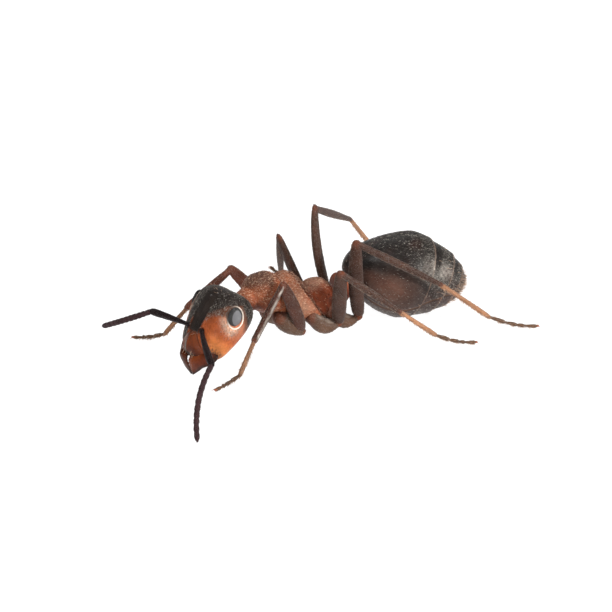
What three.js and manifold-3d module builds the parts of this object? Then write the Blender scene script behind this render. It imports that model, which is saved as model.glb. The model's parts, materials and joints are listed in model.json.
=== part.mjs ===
// A red wood ant worker, life size, standing still on six feet with its head lowered.
// Millimetres, +Z up. The ant faces -Y, so its left side is +X. Each sclerite or limb length that a
// person would name is one closed solid, and neighbours are parted by a thin cut.
import * as THREE from 'three';
import { mergeVertices } from 'three/addons/utils/BufferGeometryUtils.js';
import Module from 'manifold-3d';

const wasm = await Module();
wasm.setup();

// ---- Driving sizes, in millimetres and degrees ----
const GAP = 0.02; // the thin cut between two neighbours
const headSize = { length: 1.89, width: 1.88, depth: 1.36 };
const headCentre = { ahead: 2.53, left: 0.04, up: 1.25 };
const headPitch = 50; // how far the face axis points below level
const headSwing = 6; // towards the ant's left
const headRoll = 3; // its left cheek held higher
const socket = { ahead: 0.38, out: 0.26, face: 0.59 }; // of an antenna, from the head's centre
const lip = 0.1; // how far the shield over the mouth reaches out
const eyeSize = { length: 0.53, width: 0.38, height: 0.24 };
const eyePlace = { ahead: -0.32, out: 0.78, face: 0.27 };

// A mandible starts this far ahead of the head's centre, at this height over its middle, and dips
// towards the cheek and the tip. Its stations run from the hinge to the tip.
const mandible = { start: 0.68, reach: 0.79, level: 0.26, tilt: 0.3, droop: 0.3 };
const mandibleStations = [
  { share: 0, outer: 0.6, inner: 0.3, thick: 0.16 },
  { share: 0.12, outer: 0.66, inner: 0.22, thick: 0.16 },
  { share: 0.42, outer: 0.56, inner: 0.01, thick: 0.15 },
  { share: 0.61, outer: 0.45, inner: 0.0, thick: 0.13 },
  { share: 0.8, outer: 0.31, inner: 0.0, thick: 0.11 },
  { share: 1, outer: 0.08, inner: 0.02, thick: 0.06 },
];

const feeler = { root: 0.19, thick: 0.23, tip: 0.14, scape: 1.72, funiculus: 2.45 };

const gasterSize = { length: 3.56, width: 2.1, height: 2.38 };
const gasterCentre = { ahead: -3.21, left: 0.49, up: 1.23 };
const gasterPitch = -17.3; // the tip hangs lower than the shoulder
const gasterSwing = 18.5; // towards the ant's left
const tergiteEnds = [0.23, 0.58, 0.8, 0.93]; // of the half length, from the waist to the tip

const legThick = {
  coxa: 0.25, trochanter: 0.22, root: 0.2, femur: 0.25, knee: 0.23, tibia: 0.23, tarsus: 0.22, toes: 0.21,
};
const footLevel = 0.05; // the middle of a toe where it lies on the floor

// Lengths of each pair of legs, where the hip and the far end of the coxa sit, how far the coxa sags
// between them, and how far the femur bows ahead, out and up
const pairs = {
  fore: {
    hip: [0.72, 0.3, 1.0], coxaEnd: [0.1, 0.47, 0.46], sag: 0.02, bow: [-0.02, 0.06, 0],
    femur: 1.88, tibia: 1.61, tarsus: 0.98, toes: 0.85,
  },
  mid: {
    hip: [-0.32, 0.3, 0.72], coxaEnd: [-0.97, 0.61, 0.45], sag: 0.16, bow: [0.02, 0.02, 0],
    femur: 2.15, tibia: 2.0, tarsus: 1.21, toes: 1.15,
  },
  hind: {
    hip: [-0.98, 0.3, 0.72], coxaEnd: [-1.62, 0.64, 0.46], sag: 0.2, bow: [0.1, 0.06, 0],
    femur: 2.52, tibia: 2.69, tarsus: 1.68, toes: 1.37,
  },
};

// The stance: each length's swing from straight ahead towards its own side, and its lift above level.
// The toes have a swing alone, because they run down to the floor.
const stance = {
  fore: {
    left: { femur: [16, 63.5], tibia: [9, -50], tarsus: [19, -48.5], toes: 8 },
    right: { femur: [59.5, 39.5], tibia: [-3, -24.5], tarsus: [32.5, -51.5], toes: 46 },
  },
  mid: {
    left: { femur: [57, 63.5], tibia: [153.5, -38], tarsus: [153, -38], toes: 158 },
    right: { femur: [46.5, 66.5], tibia: [128, -54], tarsus: [139.5, -36], toes: 99.5 },
  },
  hind: {
    left: { femur: [46, 76], tibia: [155, -31.5], tarsus: [155, -39], toes: 154.5 },
    right: { femur: [92.5, 73], tibia: [150.5, -29], tarsus: [164, -50], toes: 193 },
  },
};

const feelerStance = {
  left: { scape: [63.8, -4.4], funiculus: [45.4, -25.7], bow: [0.12, -0.1, 0.05], reach: 1 },
  right: { scape: [88.8, -9.2], funiculus: [63.5, -27.5], bow: [0.2, 0.28, 0.15], reach: 0.69 },
};

// ---- Places and directions on the ant ----
const radians = THREE.MathUtils.degToRad;
const { smoothstep } = THREE.MathUtils;
const sides = { left: 1, right: -1 };

// A point ahead of the middle of the trunk, to the ant's left, and above the floor
const at = (ahead, left, up) => new THREE.Vector3(left, -ahead, up);

// A direction that swings from straight ahead towards one side and lifts above level
function heading(side, [swing, lift]) {
  const level = Math.cos(radians(lift));
  const ahead = level * Math.cos(radians(swing));
  const out = level * Math.sin(radians(swing));
  return at(ahead, side * out, Math.sin(radians(lift)));
}

// A local frame with directions ahead, left and up
class Seat {
  constructor(origin, ahead, up) {
    this.origin = origin;
    this.ahead = ahead.clone().normalize();
    this.left = new THREE.Vector3().crossVectors(up, ahead).normalize();
    this.up = new THREE.Vector3().crossVectors(this.ahead, this.left);
  }

  place(ahead, left, up) {
    return this.origin.clone()
      .addScaledVector(this.ahead, ahead)
      .addScaledVector(this.left, left)
      .addScaledVector(this.up, up);
  }

  way(ahead, left, up) {
    return this.place(ahead, left, up).sub(this.origin);
  }
}

// A seat in the trunk's own up-and-ahead plane, pitched nose up by some degrees
function pitched(ahead, left, up, pitch) {
  return new Seat(at(ahead, left, up), heading(1, [0, pitch]), at(0, 0, 1));
}

// ---- Solids ----
// A closed geometry as a solid, turned right side out if its faces point inwards
function solid(geometry) {
  geometry.deleteAttribute('normal');
  geometry.deleteAttribute('uv');
  const merged = mergeVertices(geometry, 1e-4);
  const points = new Float32Array(merged.attributes.position.array);
  const corner = (i) => new THREE.Vector3().fromArray(points, 3 * i);
  const triangles = [];
  let volume = 0;
  for (let i = 0; i < merged.index.count; i += 3) {
    const [a, b, c] = [0, 1, 2].map((k) => merged.index.getX(i + k));
    if (a === b || b === c || c === a) {
      continue;
    }
    triangles.push([a, b, c]);
    volume += corner(a).dot(corner(b).cross(corner(c)));
  }
  const outward = volume > 0 ? triangles : triangles.map(([a, b, c]) => [a, c, b]);
  const mesh = new wasm.Mesh({
    numProp: 3, vertProperties: points, triVerts: new Uint32Array(outward.flat()),
  });
  return new wasm.Manifold(mesh);
}

// A ball with its poles ahead and behind, each point of it moved by a function of its coordinates
function ball(move, fine) {
  const geometry = new THREE.SphereGeometry(1, ...fine);
  const spots = geometry.attributes.position;
  for (let i = 0; i < spots.count; i += 1) {
    spots.setXYZ(i, ...move(spots.getY(i), spots.getX(i), spots.getZ(i)).toArray());
  }
  return solid(geometry);
}

// A rounded form in a seat: a ball shaped by a function of its unit coordinates and scaled to its half
// sizes. Every form here can be made a little larger, for cutting.
const plain = (a, l, u) => [a, l, u];

function pod(seat, size, shape = plain, fine = [16, 10]) {
  return (grow = 0) => ball((...unit) => {
    const [a, l, u] = shape(...unit);
    return seat.place(
      a * (size.length / 2 + grow),
      l * (size.width / 2 + grow),
      u * (size.height / 2 + grow),
    );
  }, fine);
}

// A limb with round ends along a straight or slightly bowed line
function limb(from, to, radii, bow = new THREE.Vector3(), around = 8) {
  const length = from.distanceTo(to);
  const turn = new THREE.Quaternion().setFromUnitVectors(
    new THREE.Vector3(0, 1, 0),
    to.clone().sub(from).normalize(),
  );
  return (grow = 0) => {
    const r = radii.map((radius) => radius + grow);
    const last = r[r.length - 1];
    const step = length / (r.length - 1);
    const cap = Math.SQRT1_2;
    const outline = [
      new THREE.Vector2(0, -r[0]),
      new THREE.Vector2(cap * r[0], -cap * r[0]),
      ...r.map((radius, i) => new THREE.Vector2(radius, i * step)),
      new THREE.Vector2(cap * last, length + cap * last),
      new THREE.Vector2(0, length + last),
    ];
    const geometry = new THREE.LatheGeometry(outline, around);
    const spots = geometry.attributes.position;
    for (let i = 0; i < spots.count; i += 1) {
      const point = new THREE.Vector3().fromBufferAttribute(spots, i);
      const t = THREE.MathUtils.clamp(point.y / length, 0, 1);
      point.applyQuaternion(turn).add(from).addScaledVector(bow, 4 * t * (1 - t));
      spots.setXYZ(i, ...point.toArray());
    }
    return solid(geometry);
  };
}

// Several forms joined into one
const joined = (...forms) => (grow = 0) => forms
  .map((form) => form(grow))
  .reduce((sum, next) => sum.add(next));

// A solid with the room of other forms, and the thin cut round them, taken out
const clearOf = (body, ...forms) => forms.reduce((rest, form) => rest.subtract(form(GAP)), body);

// The share of a solid beyond a plane, half a thin cut away from it
function beyond(body, point, direction) {
  const normal = direction.clone().normalize();
  return body.trimByPlane(normal.toArray(), normal.dot(point) + GAP / 2);
}

const aboveFloor = (body) => body.trimByPlane([0, 0, 1], 0);

// ---- Materials ----
function finish(color, roughness) {
  return () => new THREE.MeshStandardMaterial({ color, roughness, metalness: 0 });
}

const rust = finish('#9c4a24', 0.45);
const mahogany = finish('#5c2415', 0.35);
const umber = finish('#3a2822', 0.45);
const tan = finish('#8a5236', 0.5);
const eyeGrey = finish('#2c2e34', 0.25);

const ant = new THREE.Group();
ant.name = 'red_wood_ant';

function add(name, body, material) {
  const { numProp, vertProperties, triVerts } = body.getMesh();
  const positions = new Float32Array((vertProperties.length / numProp) * 3);
  for (let i = 0; i < positions.length / 3; i += 1) {
    positions.set(vertProperties.subarray(i * numProp, i * numProp + 3), 3 * i);
  }
  const geometry = new THREE.BufferGeometry();
  geometry.setAttribute('position', new THREE.BufferAttribute(positions, 3));
  geometry.setIndex(new THREE.BufferAttribute(new Uint32Array(triVerts), 1));
  geometry.computeVertexNormals();
  const mesh = new THREE.Mesh(geometry, material());
  mesh.name = name;
  ant.add(mesh);
}

// ---- The trunk: pronotum, mesothorax and propodeum, modelled whole and parted by two cuts ----
const pronotumForm = pod(
  pitched(0.97, 0, 1.69, 24),
  { length: 1.32, width: 1.16, height: 1.06 },
);
const mesonotumForm = pod(
  pitched(0.4, 0, 1.5, 30),
  { length: 1.2, width: 0.96, height: 1.22 },
);
const pleuronForm = pod(
  pitched(0.0, 0, 1.14, 22),
  { length: 2.0, width: 0.9, height: 0.96 },
);
// Its back slopes down behind, and its sides stand out low down, over the last legs
function propodeumShape(a, l, u) {
  const slope = smoothstep(-a, 0, 0.9) * smoothstep(u, -0.2, 0.3);
  const flank = smoothstep(-u, 0.1, 0.7);
  return [a, l * (1 - 0.12 * u + 0.2 * flank), u * (1 - 0.24 * slope)];
}

const propodeumForm = pod(
  pitched(-0.64, 0, 1.08, 14),
  { length: 1.24, width: 0.86, height: 1.14 },
  propodeumShape,
);
const neckForm = limb(at(1.3, 0, 1.66), at(1.92, 0.08, 1.7), [0.4, 0.24]);
const trunkForm = joined(pronotumForm, mesonotumForm, pleuronForm, propodeumForm);

// ---- The head ----
const headSeat = new Seat(
  at(headCentre.ahead, headCentre.left, headCentre.up),
  heading(1, [headSwing, -headPitch]),
  at(0, -Math.sin(radians(headRoll)), Math.cos(radians(headRoll))),
);

// Seen from the front the head is widest behind the eyes, with full rounded corners, and narrows to the
// mouth. Seen from the side the face bulges, the throat is flatter, and the shield's lip reaches out.
function headShape(a, l, u) {
  const ring = Math.sqrt(Math.max(1 - a * a, 1e-9));
  const back = Math.pow(1 - Math.pow(Math.max(-a, 0), 4.1), 0.38);
  const fore = Math.pow(1 - Math.pow(Math.max(a, 0), 5.9), 0.345);
  const full = Math.min(back, fore) / ring;
  const front = smoothstep(a, -0.3, 1);
  const throat = 1 - (0.14 + 0.22 * front) * smoothstep(-u, -0.1, 0.25);
  const left = l * full * (1 - 0.21 * front);
  const up = u * full * (1 - 0.15 * front) * throat;
  const middle = smoothstep(up, 0.09, 0.44) * smoothstep(-Math.abs(left), -0.56, -0.22);
  const reach = (2 * lip / headSize.length) * middle * smoothstep(a, 0.58, 0.95);
  return [a + reach, left, up];
}

const headForm = pod(
  headSeat,
  { length: headSize.length, width: headSize.width, height: headSize.depth },
  headShape,
  [24, 16],
);

// The eye's long axis runs towards the mouth and down, and it looks out and a little up
function eyeForm(side) {
  const centre = headSeat.place(eyePlace.ahead, side * eyePlace.out, eyePlace.face);
  const along = headSeat.way(0.9, 0.1 * side, -0.4);
  const out = headSeat.way(0.1, 0.92 * side, 0.34);
  return pod(new Seat(centre, along, out), eyeSize, plain, [12, 8]);
}

// A value between two mandible stations
function station(share, key) {
  const next = mandibleStations.findIndex((one) => one.share >= share && one.share > 0);
  const [from, to] = [mandibleStations[next - 1], mandibleStations[next]];
  const part = (share - from.share) / (to.share - from.share);
  return from[key] + part * (to[key] - from[key]);
}

// A mandible is a curved blade: broad and thick at the cheek, thin at the inner edge and the tip
function mandibleForm(side) {
  return () => ball((a, l, u) => {
    const ring = Math.sqrt(Math.max(1 - a * a, 1e-9));
    const share = THREE.MathUtils.clamp((1 + a) / 2, 0, 1);
    const [outer, inner] = [station(share, 'outer'), station(share, 'inner')];
    const across = l * side / ring;
    const out = (outer + inner) / 2 + across * (outer - inner) / 2;
    const thick = station(share, 'thick') * (0.7 + 0.3 * across);
    const level = mandible.level - mandible.tilt * out - mandible.droop * smoothstep(share, 0.55, 1.02);
    const ahead = mandible.start + mandible.reach * share;
    return headSeat.place(ahead, side * out, level + thick * (u / ring));
  }, [12, 10]);
}

const eyeForms = { left: eyeForm(1), right: eyeForm(-1) };
const mandibleForms = { left: mandibleForm(1), right: mandibleForm(-1) };

add('head', clearOf(headForm(), eyeForms.left, eyeForms.right), rust);
for (const [name, side] of Object.entries(sides)) {
  add(`eye_${name}`, eyeForms[name](), eyeGrey);
  const inner = headSeat.left.clone().multiplyScalar(side);
  const blade = beyond(clearOf(mandibleForms[name](), headForm), headSeat.origin, inner);
  add(`mandible_${name}`, blade, mahogany);
}

// ---- The feelers: a scape, and a funiculus in two lengths ----
for (const [name, side] of Object.entries(sides)) {
  const pose = feelerStance[name];
  const root = headSeat.place(socket.ahead, side * socket.out, socket.face);
  const scapeWay = heading(side, pose.scape);
  const elbow = root.clone().addScaledVector(scapeWay, feeler.scape);
  const funiculusWay = heading(side, pose.funiculus);
  const tip = elbow.clone().addScaledVector(funiculusWay, feeler.funiculus * pose.reach);
  const middle = elbow.clone().lerp(tip, 0.5);
  const bow = at(...pose.bow);

  const scape = limb(root, elbow, [feeler.root, feeler.thick, feeler.thick])();
  const whole = limb(
    elbow,
    tip,
    [feeler.thick, feeler.thick, feeler.thick, feeler.thick, feeler.tip],
    bow,
  )();
  const mitre = scapeWay.clone().add(funiculusWay);
  const outer = beyond(whole, elbow, mitre);
  add(
    `scape_${name}`,
    beyond(clearOf(scape, headForm), elbow, mitre.clone().negate()),
    umber,
  );
  add(`funiculus_base_${name}`, beyond(outer, middle, funiculusWay.clone().negate()), umber);
  add(`funiculus_end_${name}`, beyond(outer, middle, funiculusWay), umber);
}

// ---- Parting the trunk ----
const trunk = clearOf(trunkForm().add(neckForm()), headForm);
const frontCut = { point: at(0.62, 0, 1.6), way: heading(1, [0, -10]) };
const rearCut = { point: at(-0.12, 0, 1.52), way: heading(1, [0, -31]) };
const rearWay = rearCut.way.clone().negate();
const behindPronotum = beyond(trunk, frontCut.point, frontCut.way.clone().negate());
add('pronotum', beyond(trunk, frontCut.point, frontCut.way), rust);
add('mesothorax', beyond(behindPronotum, rearCut.point, rearCut.way), rust);
add('propodeum', beyond(behindPronotum, rearCut.point, rearWay), mahogany);

// ---- The gaster: one egg, parted into four visible tergites and the tip ----
const gasterWay = heading(1, [180 - gasterSwing, gasterPitch]);
const gasterSeat = new Seat(
  at(gasterCentre.ahead, gasterCentre.left, gasterCentre.up),
  gasterWay,
  at(0, 0, 1),
);

// An egg, fullest before its middle, with a belly that hangs a little lower in front
function gasterShape(a, l, u) {
  const ring = Math.sqrt(Math.max(1 - a * a, 1e-9));
  const full = Math.sqrt(Math.max(1 - Math.pow(Math.abs(a), 1.3), 0)) / ring;
  const belly = 0.06 * smoothstep(-u, 0, 0.6) * smoothstep(-a, -0.1, 0.4);
  return [a, l * full * (1 - 0.15 * a), u * full * (1 + 0.04 * a + belly)];
}

const gasterForm = pod(
  gasterSeat,
  gasterSize,
  gasterShape,
  [24, 16],
);

// ---- The petiole: a short stem with an upright scale ----
const stemForm = limb(at(-1.0, 0, 0.9), at(-1.9, 0.06, 0.98), [0.2, 0.22]);
const scaleForm = pod(
  pitched(-1.46, 0, 1.12, 4),
  { length: 0.26, width: 0.86, height: 0.86 },
  (a, l, u) => [a * (1 - 0.3 * u), l * (1 + 0.1 * u), u],
);
const petioleForm = joined(stemForm, scaleForm);

add('petiole', clearOf(petioleForm(), trunkForm, gasterForm), mahogany);

const tergites = ['first', 'second', 'third', 'fourth', 'tip'];
let rest = gasterForm();
tergites.forEach((name, i) => {
  let piece = rest;
  if (i < tergiteEnds.length) {
    const end = gasterSeat.place((tergiteEnds[i] * gasterSize.length) / 2, 0, 0);
    piece = beyond(rest, end, gasterWay.clone().negate());
    rest = beyond(rest, end, gasterWay);
  }
  add(`gaster_${name}`, piece, umber);
});

// ---- The legs ----
const coxaForms = [];
for (const [pair, bones] of Object.entries(pairs)) {
  for (const [name, side] of Object.entries(sides)) {
    const pose = stance[pair][name];
    const spot = ([ahead, out, up]) => at(ahead, side * out, up);
    const hip = spot(bones.hip);
    const coxaEnd = spot(bones.coxaEnd);
    const ways = {
      femur: heading(side, pose.femur),
      tibia: heading(side, pose.tibia),
      tarsus: heading(side, pose.tarsus),
    };
    const knee = coxaEnd.clone().addScaledVector(ways.femur, bones.femur);
    const ankle = knee.clone().addScaledVector(ways.tibia, bones.tibia);
    const ball = ankle.clone().addScaledVector(ways.tarsus, bones.tarsus);
    const drop = THREE.MathUtils.radToDeg(Math.asin((footLevel - ball.z) / bones.toes));
    ways.toes = heading(side, [pose.toes, drop]);
    const foot = ball.clone().addScaledVector(ways.toes, bones.toes);

    const { femur, tibia, tarsus, toes } = legThick;
    const coxaRadii = [legThick.coxa, legThick.coxa, legThick.coxa, legThick.trochanter];
    const coxaForm = limb(hip, coxaEnd, coxaRadii, at(0, 0, -bones.sag));
    const coxa = clearOf(coxaForm(), trunkForm, petioleForm, ...coxaForms);
    coxaForms.push(coxaForm);

    const femurRadii = [legThick.root, femur, femur, legThick.knee];
    const femurBody = limb(coxaEnd, knee, femurRadii, spot(bones.bow))();
    const tibiaBody = limb(knee, ankle, [legThick.knee, tibia, tibia])();
    const tarsusBody = limb(ankle, ball, [tarsus, tarsus])();
    const toesBody = limb(ball, foot, [toes, toes])();
    const bends = [
      [knee, ways.femur.clone().add(ways.tibia)],
      [ankle, ways.tibia.clone().add(ways.tarsus)],
      [ball, ways.tarsus.clone().add(ways.toes)],
    ];
    const before = (body, [point, way]) => beyond(body, point, way.clone().negate());
    const after = (body, [point, way]) => beyond(body, point, way);

    const label = `${pair}leg_${name}`;
    add(`${label}_coxa`, coxa, mahogany);
    add(
      `${label}_femur`,
      clearOf(before(femurBody, bends[0]), trunkForm, petioleForm, ...coxaForms),
      umber,
    );
    add(`${label}_tibia`, clearOf(before(after(tibiaBody, bends[0]), bends[1]), gasterForm), umber);
    add(`${label}_tarsus`, aboveFloor(before(after(tarsusBody, bends[1]), bends[2])), tan);
    add(`${label}_toes`, aboveFloor(after(toesBody, bends[2])), tan);
  }
}

// ---- The part's origin: the middle of its footprint, on the floor ----
const box = new THREE.Box3().setFromObject(ant);
const middle = box.getCenter(new THREE.Vector3());
ant.position.set(-middle.x, -middle.y, -box.min.z);

export default ant;
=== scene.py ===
"""A red wood ant worker in life size: its cuticle, eyes, feelers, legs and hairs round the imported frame.

Shapes are worked out in millimetres, ahead, left and up of the middle of the trunk on the floor, and a
finished mesh is brought to metres as its last step. The file is laid out as an add-on and run as a script.
"""

import json
import math

import bpy
import numpy as np
from bpy.props import FloatProperty, FloatVectorProperty, IntProperty, PointerProperty
from mathutils import Matrix, Vector
from mathutils.bvhtree import BVHTree
from mathutils.kdtree import KDTree

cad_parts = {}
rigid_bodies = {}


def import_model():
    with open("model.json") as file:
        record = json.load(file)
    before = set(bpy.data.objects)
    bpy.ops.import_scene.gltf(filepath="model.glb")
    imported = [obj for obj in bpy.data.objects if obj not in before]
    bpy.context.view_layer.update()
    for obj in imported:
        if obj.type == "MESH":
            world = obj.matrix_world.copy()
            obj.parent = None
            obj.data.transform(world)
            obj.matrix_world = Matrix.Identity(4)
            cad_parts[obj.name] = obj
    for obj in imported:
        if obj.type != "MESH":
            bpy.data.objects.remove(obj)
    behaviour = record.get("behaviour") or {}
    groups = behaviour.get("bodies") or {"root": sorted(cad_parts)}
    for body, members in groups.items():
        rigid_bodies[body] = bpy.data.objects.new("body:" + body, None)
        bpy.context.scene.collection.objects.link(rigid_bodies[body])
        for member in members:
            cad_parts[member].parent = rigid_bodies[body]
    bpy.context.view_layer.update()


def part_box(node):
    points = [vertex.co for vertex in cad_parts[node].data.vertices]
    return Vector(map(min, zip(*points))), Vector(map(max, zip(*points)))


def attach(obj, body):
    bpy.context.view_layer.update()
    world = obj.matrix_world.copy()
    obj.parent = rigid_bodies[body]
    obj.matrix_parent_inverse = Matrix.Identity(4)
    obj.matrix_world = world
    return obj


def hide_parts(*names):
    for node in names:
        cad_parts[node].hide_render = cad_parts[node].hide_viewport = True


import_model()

bl_info = {
    "name": "Red Wood Ant",
    "version": (1, 0, 0),
    "blender": (4, 5, 0),
    "location": "3D View > Sidebar > Ant",
    "description": "Dresses a still red wood ant with cuticle, eyes, feelers, legs and hairs",
    "category": "Add Mesh",
}

MM = 0.001
SIDES = {"left": 1, "right": -1}
SEED = 11

# ---- Places, in millimetres: the same plan that the frame's solids follow ----
HEAD = {"ahead": 2.53, "left": 0.04, "up": 1.25, "pitch": 50, "swing": 6, "roll": 3}
SOCKET = {"ahead": 0.38, "out": 0.26, "face": 0.59}
EYE = {"ahead": -0.32, "out": 0.78, "face": 0.27}
GASTER = {"ahead": -3.21, "left": 0.49, "up": 1.23, "pitch": -17.3, "swing": 18.5}
TERGITE_ENDS = (0.23, 0.58, 0.8, 0.93)  # of the half length, from the waist to the tip
FRONT_CUT = {"point": (0.62, 0, 1.6), "way": (0, -10)}
REAR_CUT = {"point": (-0.12, 0, 1.52), "way": (0, -31)}
FOOT_LEVEL = 0.05

LEGS = {
    "fore": {
        "hip": (0.72, 0.3, 1.0), "coxa_end": (0.1, 0.47, 0.46), "coxa_sag": 0.02, "bow": (-0.02, 0.06, 0),
        "femur": 1.88, "tibia": 1.61, "tarsus": 0.98, "toes": 0.85,
    },
    "mid": {
        "hip": (-0.32, 0.3, 0.72), "coxa_end": (-0.97, 0.61, 0.45), "coxa_sag": 0.16, "bow": (0.02, 0.02, 0),
        "femur": 2.15, "tibia": 2.0, "tarsus": 1.21, "toes": 1.15,
    },
    "hind": {
        "hip": (-0.98, 0.3, 0.72), "coxa_end": (-1.62, 0.64, 0.46), "coxa_sag": 0.2, "bow": (0.1, 0.06, 0),
        "femur": 2.52, "tibia": 2.69, "tarsus": 1.68, "toes": 1.37,
    },
}
STANCE = {
    ("fore", "left"): {"femur": (16, 63.5), "tibia": (9, -50), "tarsus": (19, -48.5), "toes": 8},
    ("fore", "right"): {"femur": (59.5, 39.5), "tibia": (-3, -24.5), "tarsus": (32.5, -51.5), "toes": 46},
    ("mid", "left"): {"femur": (57, 63.5), "tibia": (153.5, -38), "tarsus": (153, -38), "toes": 158},
    ("mid", "right"): {"femur": (46.5, 66.5), "tibia": (128, -54), "tarsus": (139.5, -36), "toes": 99.5},
    ("hind", "left"): {"femur": (46, 76), "tibia": (155, -31.5), "tarsus": (155, -39), "toes": 154.5},
    ("hind", "right"): {"femur": (92.5, 73), "tibia": (150.5, -29), "tarsus": (164, -50), "toes": 193},
}
FEELER = {"scape": 1.72, "funiculus": 2.45}
FEELER_STANCE = {
    "left": {"scape": (63.8, -4.4), "funiculus": (45.4, -25.7), "bow": (0.12, -0.1, 0.05), "reach": 1.0},
    "right": {"scape": (88.8, -9.2), "funiculus": (63.5, -27.5), "bow": (0.2, 0.28, 0.15), "reach": 0.69},
}


def unit(vector):
    vector = np.asarray(vector, float)
    return vector / np.linalg.norm(vector)


def bearing(side, way):
    """A direction that swings from straight ahead towards one side and lifts above level."""
    swing, lift = (math.radians(angle) for angle in way)
    level = math.cos(lift)
    return np.array([side * level * math.sin(swing), -level * math.cos(swing), math.sin(lift)])


def towards(ahead, left, up):
    return np.array([left, -ahead, up], float)


class Seat:
    """A local frame with directions ahead, left and up, for a form and what is drawn on it."""

    def __init__(self, origin, ahead, up):
        self.origin = np.asarray(origin, float)
        ahead = unit(ahead)
        left = unit(np.cross(up, ahead))
        self.axes = np.array([ahead, left, np.cross(ahead, left)])

    def place(self, spots):
        return self.origin + np.asarray(spots, float) @ self.axes

    def local(self, points):
        return (points - self.origin) @ self.axes.T

    def way(self, ahead, left, up):
        return np.array([ahead, left, up]) @ self.axes


def box_middle(node):
    low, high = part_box(node)
    return np.array((low + high) / 2) / MM


def head_seat(middle):
    roll = math.radians(HEAD["roll"])
    return Seat(
        middle + towards(HEAD["ahead"], HEAD["left"], HEAD["up"]),
        bearing(1, (HEAD["swing"], -HEAD["pitch"])),
        towards(0, -math.sin(roll), math.cos(roll)),
    )


# The trunk's middle in the frame, found from where the left eye sits
MIDDLE = box_middle("eye_left") - head_seat(np.zeros(3)).place(
    (EYE["ahead"], EYE["out"], EYE["face"])
)
HEAD_SEAT = head_seat(MIDDLE)
GASTER_SEAT = Seat(
    MIDDLE + towards(GASTER["ahead"], GASTER["left"], GASTER["up"]),
    bearing(1, (180 - GASTER["swing"], GASTER["pitch"])),
    (0, 0, 1),
)


def at(ahead, left, up):
    return MIDDLE + towards(ahead, left, up)


def pitched(ahead, left, up, pitch):
    """A seat in the trunk's own plane, pitched nose up by some degrees."""
    return Seat(at(ahead, left, up), bearing(1, (0, pitch)), (0, 0, 1))


TRUNK_SEAT = pitched(0, 0, 1.2, 14)


# ---- Number helpers ----
def ease(value, low, high):
    """A smooth step from 0 at low to 1 at high."""
    share = np.clip((value - low) / (high - low), 0, 1)
    return share * share * (3 - 2 * share)


def hump(value, width):
    """A smooth bump that is 1 where the value is 0."""
    return np.exp(-((value / width) ** 2))


def between(stations, share):
    """A value that runs smoothly through (share, value) stations."""
    spots, values = (np.array(column, float) for column in zip(*stations))
    share = np.asarray(share, float)
    index = np.clip(np.searchsorted(spots, share) - 1, 0, len(spots) - 2)
    part = np.clip((share - spots[index]) / (spots[index + 1] - spots[index]), 0, 1)
    slopes = np.gradient(values, spots)
    step = spots[index + 1] - spots[index]
    square, cube = part * part, part ** 3
    return (
        (2 * cube - 3 * square + 1) * values[index]
        + (cube - 2 * square + part) * step * slopes[index]
        + (3 * square - 2 * cube) * values[index + 1]
        + (cube - square) * step * slopes[index + 1]
    )


def ripple(points, size, seed):
    """A smooth random field from -1 to 1, with features of about that size in millimetres."""
    random = np.random.default_rng(SEED + seed)
    waves = 14
    ways = random.normal(size=(waves, 3))
    ways *= (random.uniform(0.7, 1.6, waves) / np.linalg.norm(ways, axis=1))[:, None]
    phases = random.uniform(0, 2 * math.pi, waves)
    return np.sin(points @ ways.T * (math.pi / size) + phases).sum(axis=1) / (0.6 * waves)


def blend(share, low, high):
    share = np.clip(share, 0, 1)[:, None]
    return low * (1 - share) + high * share


def layered(skin, *layers):
    """Colours laid over a skin in turn, each a share for every vertex and a colour."""
    for share, tone in layers:
        skin = blend(share, skin, tone)
    return skin


# ---- Modelling helpers ----
def fresh():
    """Nothing selected, in object mode, before a primitive is added."""
    if bpy.context.object and bpy.context.object.mode != "OBJECT":
        bpy.ops.object.mode_set(mode="OBJECT")
    bpy.ops.object.select_all(action="DESELECT")


def pick(*objects):
    fresh()
    for obj in objects:
        obj.select_set(True)
    bpy.context.view_layer.objects.active = objects[0]


def named(name):
    obj = bpy.context.object
    obj.name = name
    obj.data.name = name
    return obj


def spots_of(obj):
    points = np.empty(len(obj.data.vertices) * 3)
    obj.data.vertices.foreach_get("co", points)
    return points.reshape(-1, 3)


def move_spots(obj, points):
    obj.data.vertices.foreach_set("co", np.asarray(points, float).ravel())
    obj.data.update()


def normals_of(obj):
    normals = np.empty(len(obj.data.vertices) * 3)
    obj.data.vertex_normals.foreach_get("vector", normals)
    return normals.reshape(-1, 3)


def swell(obj, height):
    """Raises a surface along its normals by a height for each vertex."""
    move_spots(obj, spots_of(obj) + normals_of(obj) * np.asarray(height)[:, None])


def modify(obj, kind, **settings):
    """Adds a modifier, sets it and applies it."""
    pick(obj)
    modifier = obj.modifiers.new(kind.title(), kind)
    for key, value in settings.items():
        setattr(modifier, key, value)
    bpy.ops.object.modifier_apply(modifier=modifier.name)
    return obj


def smoother(obj, levels=1):
    return modify(obj, "SUBSURF", levels=levels, render_levels=levels)


def ball(name, around, along):
    """A unit ball with its poles on Z."""
    fresh()
    bpy.ops.mesh.primitive_uv_sphere_add(segments=around, ring_count=along, radius=1)
    return named(name)


def pod(name, seat, size, shape, fine):
    """A ball with its poles ahead and behind, shaped in unit coordinates and laid in a seat."""
    obj = ball(name, *fine)
    spots = spots_of(obj)[:, [2, 0, 1]]
    if shape:
        spots = np.stack(shape(*spots.T), axis=1)
    move_spots(obj, seat.place(spots * np.array(size) / 2))
    return obj


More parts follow.
